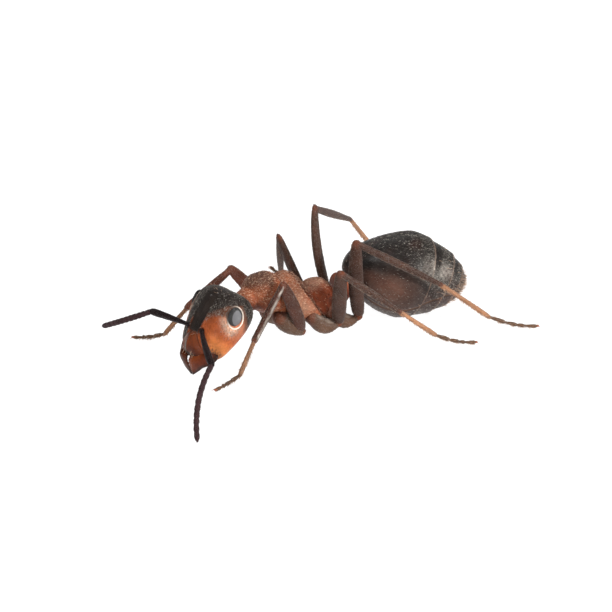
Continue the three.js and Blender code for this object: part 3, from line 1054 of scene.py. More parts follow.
def turn_round(obj):
    """Turns the faces of a mirrored form the right way out."""
    pick(obj)
    bpy.ops.object.mode_set(mode="EDIT")
    bpy.ops.mesh.select_all(action="SELECT")
    bpy.ops.mesh.flip_normals()
    bpy.ops.object.mode_set(mode="OBJECT")


# ---- The feelers ----
BEADS = (1.35, 0.95, 0.95, 1, 1, 1, 1, 1, 0.98, 0.98, 1.4)  # their lengths, from the elbow out
SCAPE_SHAPE = ((0.0, 0.05), (0.03, 0.062), (0.07, 0.046), (0.3, 0.07), (0.7, 0.09), (0.94, 0.1), (1, 0.075))
BEAD_SHAPE = ((0.06, 0.78), (0.25, 0.93), (0.65, 1.0), (0.92, 0.9))
LAST_BEAD_SHAPE = ((0.06, 0.7332), (0.25, 0.8742), (0.55, 0.9), (0.85, 0.55), (0.97, 0.25))
BEAD_TAPER = ((0, 0.86), (0.3, 1.0), (1, 0.94))  # how wide the beads are along the funiculus
BEADS_IN_BASE = 5


def feeler_lines(name):
    """The middle lines of a scape and of the funiculus beyond its elbow."""
    side, pose = SIDES[name], FEELER_STANCE[name]
    root = HEAD_SEAT.place((SOCKET["ahead"], side * SOCKET["out"], SOCKET["face"]))
    elbow = root + FEELER["scape"] * bearing(side, pose["scape"])
    tip = elbow + FEELER["funiculus"] * pose["reach"] * bearing(side, pose["funiculus"])
    arch = 0.05 * HEAD_SEAT.axes[2]
    return Line(root, elbow, arch), Line(elbow, tip, towards(*pose["bow"]))


def build_feelers(size):
    tint = tints()
    look = cuticle("feeler_cuticle", HEAD_SEAT, tint["silver"], grain=0.8, shine=0.06)
    radius = size["feeler_thickness"] / 2
    for name in SIDES:
        scape_line, line = feeler_lines(name)
        scape = limb(f"scape_shaft_{name}", scape_line, SCAPE_SHAPE, 16)
        paint(scape, tint["plum"] * 0.3, 0.7, 0.0)
        finish(scape, look, "cuticle_umber", f"scape_{name}")
        ends = np.concatenate([[0], np.cumsum(BEADS)]) / sum(BEADS)
        beads = []
        for index, (near, far) in enumerate(zip(ends, ends[1:])):
            part = Line(line.at(near), line.at(far))
            stations = ringed(BEAD_SHAPE, radius * between(BEAD_TAPER, far))
            if index == len(BEADS) - 1:
                stations = ringed(LAST_BEAD_SHAPE, radius)
            beads.append(limb(f"bead_{name}_{index}", part, stations, 14))
        for label, group in (("base", beads[:BEADS_IN_BASE]), ("end", beads[BEADS_IN_BASE:])):
            piece = joined(f"funiculus_beads_{label}_{name}", group)
            paint(piece, tint["plum"], 0.35, 0.15)
            finish(piece, look, "cuticle_umber", f"funiculus_{label}_{name}")


# ---- The trunk ----
TRUNK_FORMS = {
    "pronotum": {"seat": (0.97, 0, 1.69, 24), "size": (1.32, 1.16, 1.06)},
    "mesonotum": {"seat": (0.4, 0, 1.5, 30), "size": (1.2, 0.96, 1.22)},
    "pleuron": {"seat": (0.0, 0, 1.14, 22), "size": (2.0, 0.9, 0.96)},
    "propodeum": {"seat": (-0.64, 0, 1.08, 14), "size": (1.24, 0.86, 1.14)},
}
NECK_SHAPE = [(0, 0.4), (0.5, 0.31), (0.8, 0.25), (1, 0.2)]
TRUNK_GRAIN = 0.017  # the mesh size that the joined trunk is rebuilt at
TRUNK_REACH = 2.2  # from the trunk's middle to the ends of its unwrap
SPIRACLE = (-0.85, 0.36, 1.25)


def propodeum_shape(a, l, u):
    """Its back slopes down behind, and its sides stand out low down, over the last legs."""
    slope = ease(-a, 0.0, 0.9) * ease(u, -0.2, 0.3)
    return a, l * (1 - 0.12 * u + 0.2 * ease(-u, 0.1, 0.7)), u * (1 - 0.24 * slope)


def plan_spots(points):
    """Points as distances ahead, left and up of the trunk's middle on the floor."""
    place = points - MIDDLE
    return np.stack([-place[:, 1], place[:, 0], place[:, 2]], axis=1)


def cut_distance(spots, cut):
    """How far a spot lies ahead of a cut between two plates."""
    swing, lift = (math.radians(angle) for angle in cut["way"])
    way = np.array([math.cos(lift) * math.cos(swing), 0, math.sin(lift)])
    return (spots - np.array(cut["point"])) @ way


def trunk_relief(points):
    """Sutures between the plates, the ringed breathing pores and the swell over the gland."""
    spots = plan_spots(points)
    ahead, left, up = spots.T
    out = np.abs(left)
    front = cut_distance(spots, FRONT_CUT)
    rear = cut_distance(spots, REAR_CUT)
    height = -0.045 * hump(front, 0.022) + 0.018 * ease(front, 0.0, 0.04) * ease(-front, -0.3, -0.1)
    height += -0.04 * hump(rear, 0.024) + 0.012 * ease(rear, 0.0, 0.05) * ease(-rear, -0.25, -0.1)
    groove = np.hypot(ahead - 0.02, (up - 1.86) * 0.5)
    height -= 0.05 * hump(groove, 0.1) * ease(up, 1.5, 1.7)
    strip = rear - 0.11
    height -= 0.022 * hump(strip, 0.014) * ease(up, 1.45, 1.6)
    breath = np.linalg.norm(np.abs(spots) - np.array([0.02, 0.24, 1.8]), axis=1)
    height += 0.05 * hump(breath, 0.06)
    pore = spots - np.array([SPIRACLE[0], 0, SPIRACLE[2]])
    pore = np.hypot(pore[:, 0] * 1.5, pore[:, 2]) + 10 * (out < 0.15)
    height += 0.03 * hump(pore - 0.075, 0.03) - 0.06 * hump(pore, 0.045)
    gland = np.hypot(ahead + 0.98, (up - 0.74) * 1.3) + 10 * (out < 0.15)
    height += 0.03 * hump(gland, 0.1)
    split = up - (1.12 + 0.3 * (ahead - 0.3))
    height -= 0.02 * hump(split, 0.02) * ease(rear, 0.0, 0.1) * ease(-front, 0.05, 0.12) * ease(out, 0.2, 0.3)
    height += 0.012 * ripple(spots, 0.34, 4) + 0.004 * ripple(spots, 0.12, 5)
    return height


def trunk_marks(points):
    """Rust above, a dark patch on the pronotum, a painted shadow of the head low on its front, and a bare
    glossy flank behind.
    """
    tint = tints()
    spots = plan_spots(points)
    ahead, left, up = spots.T
    front = cut_distance(spots, FRONT_CUT)
    rear = cut_distance(spots, REAR_CUT)
    cloud = ripple(spots, 0.3, 6)

    rose = tint["rust"] * 0.92 + tint["gold"] * 0.08
    low = ease(-up + 0.1 * cloud, -1.32, -0.95) * ease(ahead, -0.1, 0.3)
    # the low front of the pronotum is darkened as a painted shadow of the head, with less down in it
    painted_head_shadow = ease(-up + 0.08 * cloud, -1.82, -1.5) * ease(ahead, 0.8, 1.1)
    skin = layered(
        blend(ease(up + 0.1 * cloud, 1.15, 1.7), tint["rust"] * 0.7, rose * 0.66),
        (0.4 * low, tint["amber"] * 0.6),
        (0.9 * painted_head_shadow, tint["mahogany"] * 0.7),
    )
    middle = ease(-front, -0.02, 0.03) * ease(rear, 0.0, 0.05)
    skin = skin * (1 - 0.28 * middle * ease(up, 1.5, 1.75))[:, None]

    pink = middle * (0.7 + 0.6 * cloud) * (1 - 0.6 * ease(up, 1.5, 1.8))
    patch = np.sqrt(((ahead - 1.18) / 0.44) ** 2 + (left / 0.54) ** 2 + ((up - 2.15) / 0.55) ** 2)
    patch = ease(-patch + 0.25 * cloud, -1.15, -0.55)
    hinder = ease(-rear, -0.02, 0.03)
    flank = hinder * ease(-up + 0.06 * cloud, -1.62, -1.4)
    skin = layered(
        skin,
        (0.3 * pink, tint["gold"] * 0.8),
        (0.72 * patch, tint["soot"] * 1.6),
        (0.85 * hinder, tint["mahogany"] * 1.15),
        (0.6 * flank * ease(-up, -1.1, -0.6), tint["mahogany"] * 0.6),
        (0.4 * hinder * (1 - flank), tint["gold"] * 0.5),
    )
    behind = ease(-rear, -0.02, 0.05)
    skin = skin * (1 + 0.3 * ripple(spots, 0.05, 15) * (1 - 0.7 * behind))[:, None]
    skin = layered(
        skin,
        (0.9 * hump(front, 0.035), tint["mahogany"] * 0.5),
        (0.9 * hump(rear, 0.045), tint["mahogany"] * 0.5),
        (0.5 * ease(-up, -0.85, -0.6), tint["umber"] * 1.6),
    )
    bare = behind * ease(-up + 0.04 * cloud, -1.55, -1.35) * ease(up, 0.7, 0.95)
    plush = 0.9 - 0.35 * ease(ahead, 0.9, 1.3) * ease(-up, -1.95, -1.7)
    plush = plush * (1 - 0.92 * bare) * ease(up, 0.6, 0.9) * (1 - 0.7 * painted_head_shadow)
    return skin, 0.8 + 0.15 * bare, plush


def build_trunk():
    tint = tints()
    forms = []
    for name, form in TRUNK_FORMS.items():
        shape = propodeum_shape if name == "propodeum" else None
        forms.append(pod(f"trunk_{name}", pitched(*form["seat"]), form["size"], shape, (64, 48)))
    neck = Line(at(1.3, 0, 1.66), at(1.92, 0.08, 1.7))
    forms.append(limb("trunk_neck", neck, NECK_SHAPE, 32))
    trunk = joined("trunk", forms)
    modify(trunk, "REMESH", mode="VOXEL", voxel_size=TRUNK_GRAIN)
    modify(trunk, "SMOOTH", factor=0.5, iterations=14)
    swell(trunk, trunk_relief(spots_of(trunk)))
    modify(trunk, "SMOOTH", factor=0.5, iterations=1)
    paint(trunk, *trunk_marks(spots_of(trunk)))
    look = cuticle("trunk_cuticle", TRUNK_SEAT, tint["gold"], glow=0.07, shine=0.1, painted_sparkle=0.8)
    dark_look = cuticle(
        "propodeum_cuticle", TRUNK_SEAT, tint["gold"], grain=0.8, glow=0.04, shine=0.12, painted_sparkle=0.7
    )
    plates = (
        ("pronotum", look, "cuticle_rust", ((FRONT_CUT, 1),)),
        ("mesothorax", look, "cuticle_rust", ((FRONT_CUT, -1), (REAR_CUT, 1))),
        ("propodeum", dark_look, "cuticle_mahogany", ((REAR_CUT, -1),)),
    )
    for name, finish_of, slot, cuts in plates:
        plate = copied(trunk, f"{name}_plate")
        for cut, side in cuts:
            trim(plate, at(*cut["point"]), bearing(1, cut["way"]) * side)
        finish(plate, finish_of, slot, name)
    bpy.data.objects.remove(trunk)


def trim(obj, point, way):
    """Keeps what lies beyond a plane, and closes the cut."""
    pick(obj)
    bpy.ops.object.mode_set(mode="EDIT")
    bpy.ops.mesh.select_all(action="SELECT")
    bpy.ops.mesh.bisect(plane_co=tuple(point), plane_no=tuple(way), clear_inner=True, use_fill=True)
    bpy.ops.object.mode_set(mode="OBJECT")


# ---- The petiole ----
STEM_SHAPE = [(0, 0.2), (0.25, 0.17), (0.55, 0.19), (0.85, 0.15), (1, 0.13)]
PETIOLE_GRAIN = 0.014


def scale_shape(a, l, u):
    """The petiole's upright scale is thin and a little broader at its top."""
    return a * (1 - 0.3 * u), l * (1 + 0.1 * u), u


def build_petiole():
    tint = tints()
    stem = limb("petiole_stem", Line(at(-1.0, 0, 0.9), at(-1.9, 0.06, 0.98)), STEM_SHAPE, 40)
    scale = pod(
        "petiole_scale", pitched(-1.46, 0, 1.12, 4), (0.26, 0.86, 0.86), scale_shape, (72, 48)
    )
    petiole = joined("petiole_node", [stem, scale])
    modify(petiole, "REMESH", mode="VOXEL", voxel_size=PETIOLE_GRAIN)
    modify(petiole, "SMOOTH", factor=0.5, iterations=8)
    spots = plan_spots(spots_of(petiole))
    swell(petiole, 0.008 * ripple(spots, 0.16, 7))
    skin = blend(ease(spots[:, 2], 1.1, 1.5), tint["mahogany"] * 1.25, tint["rust"] * 0.6)
    paint(petiole, skin, 0.6, 0.45)
    look = cuticle("petiole_cuticle", TRUNK_SEAT, tint["gold"], glow=0.05)
    finish(petiole, look, "cuticle_mahogany", "petiole")


# ---- The gaster: plates that overlap like tiles, each with a thin pale hem ----
GASTER_ROWS = (192, 96)
HEM = {"depth": 0.035, "tuck": 0.045, "pale": 0.045}
TUCKED_ROWS = 0.05  # the share of a plate's rows that close it in front
SHOWN_ROWS = 0.93  # the share after which its rows turn in at the hem
FAR_OFF = 10  # the distance from a band or a hem that a plate doesn't have
PLATES = ("first", "second", "third", "fourth", "tip")


def slant(a, turn_up):
    """The plates' hems lie further back on the crown than on the belly."""
    return 0.11 * turn_up * np.clip(1 - a * a, 0, 1) ** 0.5 * ease(a, 0.0, 0.5)


def gaster_point(m, l, u, lifted, size):
    """A point on the egg from its share of the length and a unit direction round it."""
    a = np.clip(m + slant(m, u), -1, 1)
    ring = np.sqrt(np.maximum(1 - np.abs(a) ** 1.3, 0))
    belly = 0.06 * ease(-u, 0.0, 0.6) * ease(-a, -0.1, 0.4)
    half = np.array([size["gaster_length"], size["gaster_width"], size["gaster_height"]]) / 2
    spot = np.stack(
        [a, l * ring * (1 - 0.15 * a), u * ring * (1 + 0.04 * a + belly)], axis=1
    ) * half
    out = unit_rows(spot / half ** 2)
    return spot + out * lifted[:, None]


def unit_rows(vectors):
    return vectors / np.maximum(np.linalg.norm(vectors, axis=1), 1e-9)[:, None]


def belly_border(m):
    """How low, round the egg, a plate of the back meets its plate of the belly."""
    return between(((-1, -0.75), (-0.3, -0.72), (0.2, -0.46), (0.5, -0.28), (1, -0.2)), m)


def gaster_marks(m, u, l, start_distance, hem_distance):
    """Sooty plates with a warm flank, a black band in front, a pale hem, silvery down, and a painted glint of
    silver down on each side.
    """
    tint = tints()
    spots = np.stack([m * 1.7, l * 1.1, u * 1.1], axis=1)
    cloud = ripple(spots, 0.4, 8)
    warm = hump(np.hypot((m + 0.38) / 0.45, (u + 0.12) / 0.5), 0.8)
    border = u - belly_border(m)
    band = ease(-start_distance, -0.24, -0.14) * ease(u, 0.2, 0.7)
    pale = ease(-hem_distance, -HEM["pale"], -0.3 * HEM["pale"])
    # a painted glint: a field of bright silver down on each side, where the light catches it
    down_and_painted_glint = hump(np.hypot((m - 0.32) / 0.34, (u - 0.5) / 0.28), 0.75) * (1 - band)
    flank = tint["umber"] * 0.95 + tint["mahogany"] * 0.26 + tint["tan"] * 0.03
    skin = layered(
        blend(ease(u, -0.6, 0.4), tint["soot"] * 0.9 + tint["mahogany"] * 0.1, tint["soot"] * 0.5),
        (0.8 * warm, flank),
        (0.3 * ease(cloud, 0.0, 1.0), tint["mahogany"] * 0.6),
        (0.5 * hump(border, 0.03), tint["tan"] * 0.5),
        (0.9 * band, tint["soot"] * 0.5),
        (0.7 * pale, tint["tan"] * 0.5 + tint["rim"] * 0.1),
        (0.55 * down_and_painted_glint * (0.7 + 0.8 * ripple(spots, 0.05, 13)), tint["silver"] * 1.5),
    )
    plush = (0.75 + 0.25 * cloud) * (1 - 0.9 * band) * ease(border, 0.0, 0.08)
    plush = plush * (0.15 + 0.85 * ease(m - 0.5 * np.abs(l) + 0.4 * u, -0.5, 0.3))
    plush = np.clip(plush + 0.25 * ease(-border, 0.0, 0.1), 0, 1)
    return skin, 0.92 + 0.05 * band, np.clip(plush + 0.4 * down_and_painted_glint, 0, 1)


def gaster_lift(m, u, start, end, half):
    """A plate rises slowly to its hem, and starts tucked under the hem before it."""
    share = np.clip((m - start) / (end - start), 0, 1)
    tucked = -HEM["depth"] * 1.3 * ease(-(m - start) * half, 0.0, 0.02)
    rise = HEM["depth"] * (share ** 1.6 - 1)
    border = u - belly_border(m)
    seam = -0.02 * hump(border, 0.025) + 0.012 * ease(border, 0.0, 0.05)
    return rise + tucked + seam


def build_gaster(size):
    half = size["gaster_length"] / 2
    look = cuticle(
        "gaster_cuticle", GASTER_SEAT, tints()["silver"] * 1.3, grain=0.9, shine=0.2, painted_sparkle=0.7
    )
    for name, start, end in zip(PLATES, (-1.0, *TERGITE_ENDS), (*TERGITE_ENDS, 1.0)):
        plate = ball(f"gaster_plate_{name}", *GASTER_ROWS)
        spots = spots_of(plate)
        row = 1 - np.arccos(np.clip(spots[:, 2], -1, 1)) / math.pi
        l, u = unit_rows(spots[:, :2] + 1e-12).T
        first, last = name == PLATES[0], name == PLATES[-1]
        begin = start if first else start - HEM["tuck"] / half
        if first:
            m = -np.cos(np.clip(row / SHOWN_ROWS, 0, 1) * math.acos(-end))
        elif last:
            shown = np.clip((row - TUCKED_ROWS) / (1 - TUCKED_ROWS), 0, 1)
            m = np.cos((1 - shown) * math.acos(begin))
        else:
            shown = np.clip((row - TUCKED_ROWS) / (SHOWN_ROWS - TUCKED_ROWS), 0, 1)
            m = begin + (end - begin) * shown
        lifted = gaster_lift(m, u, start, end, half)
        inside = np.ones_like(row)
        if not first:
            inside *= np.clip(row / TUCKED_ROWS, 0, 1)
        if not last:
            lifted = lifted - 0.03 * np.clip((row - SHOWN_ROWS) / 0.03, 0, 1)
            inside *= np.clip((1 - row) / 0.04, 0, 1)
        points = gaster_point(m, l, u, lifted, size)
        points[:, 1:] *= inside[:, None]
        points += 0.004 * unit_rows(points) * ripple(points, 0.3, 9)[:, None]
        move_spots(plate, GASTER_SEAT.place(points))
        start_distance = (m - start) * half + (FAR_OFF if first else 0)
        hem_distance = (end - m) * half + (FAR_OFF if last else 0)
        paint(plate, *gaster_marks(m, u, l, start_distance, hem_distance))
        finish(plate, look, "cuticle_umber", f"gaster_{name}")


# ---- The legs ----
FEMUR_SHAPE = (
    (0, 0.5), (0.03, 0.72), (0.12, 0.9), (0.38, 1.0), (0.6, 0.97), (0.82, 0.84), (0.94, 0.72), (1, 0.6)
)
TIBIA_SHAPE = ((0, 0.7), (0.03, 0.86), (0.09, 0.76), (0.2, 0.88), (0.4, 1.0), (0.65, 0.92))
TIBIA_TIP = {"fore": 0.8, "mid": 0.62, "hind": 0.58}  # how thick the shin's far end is
TARSUS_SHAPE = ((0, 0.62), (0.03, 0.8), (0.1, 0.74), (0.5, 0.86), (0.94, 1.0), (1, 0.8))
COXA_SIZES = {"fore": (0.22, 0.26, 0.15), "mid": (0.21, 0.23, 0.15), "hind": (0.29, 0.22, 0.13)}
TROCHANTER_LENGTH = 0.06
TROCHANTER_SHAPE = [(0, 0.085), (0.5, 0.12), (1, 0.08)]
TOE_SHAPE = ((0, 0.5), (0.25, 0.62), (0.75, 0.95), (1, 0.8))
TOE_ENDS = (0.34, 0.58, 0.74, 1.0)
TOE_LEVEL = 0.052
WARMTH = {"fore": 1.0, "mid": 0.0, "hind": 0.0}  # the fore legs are the redder ones, and only their shins get the painted highlight streak


def leg_points(pair, name):
    """The joints of a leg from its hip to the end of its toes, and the way that each length runs."""
    side, bones, pose = SIDES[name], LEGS[pair], STANCE[pair, name]
    hip, coxa_end = (at(ahead, side * out, up) for ahead, out, up in (bones["hip"], bones["coxa_end"]))
    points = [hip, coxa_end]
    for bone in ("femur", "tibia", "tarsus"):
        points.append(points[-1] + bones[bone] * bearing(side, pose[bone]))
    drop = math.degrees(math.asin((FOOT_LEVEL - points[-1][2]) / bones["toes"]))
    points.append(points[-1] + bones["toes"] * bearing(side, (pose["toes"], drop)))
    return points


def leg_tint(share, base, ends):
    """A limb's colour, paler at its joints."""
    return blend(0.75 * np.maximum(ease(-share, -0.05, 0.0), ease(share, 0.95, 1.0)), base, ends)


def thigh_tint(pair, name):
    """The colour of a leg's femur and tibia. The right legs are painted paler, as more light falls on them,
    and the fore ones are redder.
    """
    tint, warm = tints(), WARMTH[pair]
    thigh = tint["umber"] * (0.62 - 0.3 * warm) + tint["mahogany"] * (0.1 + 0.14 * warm)
    thigh = thigh + tint["plum"] * 0.08
    # the right legs are painted lighter: painted light
    return thigh if name == "left" else thigh * (1.25 + 1.0 * warm)


def build_leg(pair, name, size):
    tint, warm = tints(), WARMTH[pair]
    hip, coxa_end, knee, ankle, ball_joint, foot = leg_points(pair, name)
    label = f"{pair}leg_{name}"
    flat = np.cross(knee - coxa_end, ankle - knee)
    look = bpy.data.materials.get("leg_cuticle") or cuticle(
        "leg_cuticle", TRUNK_SEAT, tint["silver"] * 1.6, grain=0.8, shine=0.12
    )
    base = thigh_tint(pair, name)
    joint = tint["mahogany"] * 0.65 + tint["umber"] * 0.4 + tint["tan"] * 0.05
    shin = tint["umber"] * 1.05 + tint["tan"] * 0.09

    def part(piece, line, slot, base_tint, ends_tint, gloss, plush, *nodes):
        share = (spots_of(piece) - line.start) @ unit(line.end - line.start) / line.length
        paint(piece, leg_tint(share, base_tint, ends_tint), gloss, plush)
        finish(piece, look, slot, *nodes)

    root, belly, tip = COXA_SIZES[pair]
    line = Line(hip, coxa_end, bow=(0, 0, -LEGS[pair]["coxa_sag"]), flat=flat)
    shape = [(0, root), (0.2, belly), (0.5, belly * 0.96), (0.8, tip * 1.15), (0.93, tip * 0.85)]
    coxa = limb(f"coxa_{label}", line, shape, 24)
    # a painted highlight on the side of each coxa that faces the light
    painted_coxa_highlight = ease(normals_of(coxa) @ unit(towards(-0.5, 0.45, 0.75)), 0.72, 0.97)
    painted_coxa_highlight = painted_coxa_highlight * np.clip(0.5 + 0.8 * ripple(spots_of(coxa), 0.07, 14), 0, 1)
    painted_shine = blend(0.36 * painted_coxa_highlight, shin, tint["silver"] * 1.2 + tint["gold"] * 0.1)
    part(coxa, line, "cuticle_mahogany", painted_shine, joint, 0.85, 0.4, f"{label}_coxa")

    trochanter_end = coxa_end + TROCHANTER_LENGTH * unit(knee - coxa_end)
    line = Line(coxa_end, trochanter_end, flat=flat)
    trochanter = limb(f"trochanter_{label}", line, TROCHANTER_SHAPE, 20)
    part(trochanter, line, "cuticle_mahogany", joint, joint, 0.7, 0.2)

    ahead, out, up = LEGS[pair]["bow"]
    line = Line(trochanter_end, knee, bow=towards(ahead, SIDES[name] * out, up), flat=flat)
    shape = ringed(FEMUR_SHAPE, size["femur_thickness"] / 2)
    femur = limb(f"femur_{label}", line, shape, 28, thin=0.58)
    part(femur, line, "cuticle_umber", base, joint, 0.8, 0.15, f"{label}_femur")

    line = Line(knee, ankle, flat=flat)
    end = TIBIA_TIP[pair]
    shape = (*TIBIA_SHAPE, (0.88, 1.04 * end), (0.97, 1.1 * end), (1, end))
    tibia = limb(f"tibia_{label}", line, ringed(shape, size["tibia_thickness"] / 2), 24, thin=0.84)
    # a painted highlight streak along the fore shins, on the side that faces the light, laid as pale down
    down_and_painted_glint = warm * ease(normals_of(tibia) @ bearing(SIDES[name], (110, 14)), 0.8, 0.96)
    down_and_painted_glint = down_and_painted_glint * np.clip(0.45 + 0.9 * ripple(spots_of(tibia), 0.07, 12), 0, 1)
    shin_with_painted_streak = blend(0.85 * down_and_painted_glint, base, tint["silver"] * 1.5)
    part(tibia, line, "cuticle_umber", shin_with_painted_streak, joint, 0.9, 0.2 + 0.6 * down_and_painted_glint, f"{label}_tibia")

    radius = size["tarsus_thickness"] / 2
    line = Line(ankle, ball_joint, flat=flat)
    tarsus = limb(f"tarsus_{label}", line, ringed(TARSUS_SHAPE, radius), 18)
    clear, foot_tint = tint["tan"] * (1.2 - 0.4 * warm), tint["tan"] * 0.6
    part(tarsus, line, "cuticle_tan", clear, foot_tint, 0.6, 0.5, f"{label}_tarsus")

    sag = np.array([0, 0, -0.2 * (ball_joint - foot)[2]])
    line = Line(ball_joint, foot, bow=sag, flat=flat)
    toes = build_toes(label, line, radius, flat)
    part(toes, line, "cuticle_tan", tint["tan"] * 0.35, foot_tint, 0.45, 0.4, f"{label}_toes")
    build_claws(label, line, look, tint)
    build_spur(pair, label, knee, ankle, ball_joint, look, tint)


def build_toes(label, line, radius, flat):
    """The last four joints of a foot, each a little thinner, laid just above the floor."""
    toes = []
    for index, (near, far) in enumerate(zip((0.0, *TOE_ENDS), TOE_ENDS)):
        piece = Line(line.at(near + 0.015), line.at(far - 0.03), flat=flat)
        stations = ringed(TOE_SHAPE, radius * (0.92 - 0.05 * index))
        toes.append(limb(f"toe_{label}_{index}", piece, stations, 16))
    toes = joined(f"toes_{label}", toes)
    spots = spots_of(toes)
    spots[:, 2] += max(0.0, 0.002 - spots[:, 2].min())
    move_spots(toes, spots)
    return toes


def horn(name, start, ahead, bend, reach, thick):
    """A curved, pointed spine that starts along one direction and hooks towards another."""
    outline = [(0, 0)]
    outline += [(thick * (1 - share) ** 0.7, share) for share in (0.02, 0.2, 0.4, 0.6, 0.8, 0.94)]
    outline += [(0, 1)]
    obj = smoother(turned(name, outline, around=10))
    share = spots_of(obj)[:, 2]
    line = Line(start, start + reach * unit(ahead), flat=bend)
    spots = spots_of(obj) * np.array([1, 1, 0])
    path = line.start + share[:, None] * (line.end - line.start) + (share ** 2)[:, None] * bend
    move_spots(obj, path + spots @ line.axes)
    return obj


def build_claws(label, line, look, tint):
    ahead = unit(line.end - line.start)
    level = unit(ahead * np.array([1, 1, 0.0]))
    side = np.cross((0, 0, 1), level)
    end = line.at(0.985)
    end[2] = max(end[2], TOE_LEVEL)
    hook = np.array([0, 0, -0.055]) + level * 0.02
    claws = []
    for way in (1, -1):
        start = end + side * way * 0.014
        spread = level + 0.55 * way * side + np.array([0, 0, 0.25])
        claws.append(horn(f"claw_{label}_{way}", start, spread, hook, reach=0.13, thick=0.017))
    pad_seat = Seat(end + level * 0.035, level, (0, 0, 1))
    pad = pod(f"pad_{label}", pad_seat, (0.09, 0.07, 0.05), None, (16, 10))
    piece = joined(f"claws_{label}", [*claws, pad])
    spots = spots_of(piece)
    spots[:, 2] = np.maximum(spots[:, 2], 0.001)
    move_spots(piece, spots)
    paint(piece, tint["mahogany"] * 1.2 + tint["tan"] * 0.3, 0.9)
    finish(piece, look, "cuticle_mahogany")


def build_spur(pair, label, knee, ankle, ball_joint, look, tint):
    """The spine at the end of the shin; on the fore leg it is a curved comb for the feelers."""
    shin, sole = unit(ankle - knee), unit(ball_joint - ankle)
    inward = unit(sole - shin * (sole @ shin) + np.array([0, 0, -0.4]))
    start = ankle - 0.05 * shin + 0.055 * inward
    if pair == "fore":
        way, hook, reach, thick = shin + 0.5 * inward, 0.1 * sole - 0.03 * inward, 0.2, 0.028
    else:
        way, hook, reach, thick = shin + 0.35 * inward, 0.02 * sole, 0.16, 0.016
    spur = horn(f"spur_{label}", start, way, hook, reach, thick)
    paint(spur, tint["amber"] * 0.9 + tint["tan"] * 0.2, 0.7)
    finish(spur, look, "cuticle_tan")


# ---- The coat: flat down as slivers, and a few standing bristles ----
PATCH = 0.003  # how wide a hair's patch is on the unwrapped skin
LIFT = 0.006  # how high the flat down lies over the skin

# How many roots are tried on a piece, or on each millimetre of a leg, before the skin's marks thin them
HEAD_ROOTS = {"flat": 26000, "tall": 900}
TRUNK_ROOTS = {"flat": 11000, "tall": 150}
GASTER_ROOTS = {"flat": (26000, 20000, 12000, 6000, 2600), "tall": 500}
LEG_ROOTS = {"flat": 900, "tall": 220}
FEELER_ROOTS = 1500
LEG_CELLS, FEELER_CELLS = 8, 4  # the unwraps of limbs share one map, in this many rows and columns


def triangles_by_place(mesh, points):
    """A mesh's triangles, sorted by where they lie, because a primitive's own order can vary."""
    mesh.calc_loop_triangles()
    corners = np.empty(len(mesh.loop_triangles) * 3, int)
    mesh.loop_triangles.foreach_get("vertices", corners)
    order = np.lexsort(np.round(points, 3).T)
    rank = np.argsort(order)
    ranks = np.sort(rank[corners.reshape(-1, 3)], axis=1)
    return order[ranks[np.lexsort(ranks.T)]]


class Roots:
    """Spots on a finished piece where hairs grow, with the skin's normal and marks at each."""

    def __init__(self, obj, count, seed):
        mesh = obj.data
        points, normals = spots_of(obj) / MM, normals_of(obj)
        corners = triangles_by_place(mesh, points)
        a, b, c = (points[corners[:, index]] for index in range(3))
        area = np.linalg.norm(np.cross(b - a, c - a), axis=1)
        random = np.random.default_rng(SEED * 100 + seed)
        density = bpy.context.scene.ant_finishes.hair_density
        chosen = random.choice(len(corners), size=int(count * density), p=area / area.sum())
        weights = random.dirichlet((1, 1, 1), len(chosen))[:, :, None]
        at_corners = corners[chosen]
        self.random = random
        self.points = (points[at_corners] * weights).sum(axis=1)
        self.normals = unit_rows((normals[at_corners] * weights).sum(axis=1))
        tint, plush = np.empty(len(points) * 4), np.empty(len(points))
        mesh.attributes["tint"].data.foreach_get("color", tint)
        mesh.attributes["plush"].data.foreach_get("value", plush)
        self.tint = (tint.reshape(-1, 4)[at_corners, :3] * weights).sum(axis=1)
        self.plush = (plush[at_corners] * weights[:, :, 0]).sum(axis=1)

    def keep(self, chance):
        """Keeps each root with its own chance."""
        kept = self.random.random(len(self.points)) < chance
        for name in ("points", "normals", "tint", "plush"):
            setattr(self, name, getattr(self, name)[kept])
        return self

    def combed(self, ways, jitter):
        """Directions that lie in the skin, close to the given ways."""
        ways = np.broadcast_to(ways, self.points.shape) + jitter * self.random.normal(
            size=self.points.shape
        )
        return unit_rows(ways - self.normals * (ways * self.normals).sum(axis=1)[:, None])

    def spread(self, low, high):
        return self.random.uniform(low, high, len(self.points))


def slivers(roots, ways, lengths, widths, lift=LIFT):
    """Flat hairs: four corners each, rooted in the skin and lying close to it."""
    side = np.cross(ways, roots.normals) * (widths / 2)[:, None]
    base = roots.points - 0.3 * lift * roots.normals
    ridge = base + ways * (0.35 * lengths)[:, None] + roots.normals * (1.5 * lift)
    tip = roots.points + ways * lengths[:, None] + roots.normals * lift
    corners = np.stack([base - side, base + side, ridge, tip], axis=1)
    return corners, ((0, 1, 2), (0, 2, 3), (2, 1, 3), (0, 3, 1))


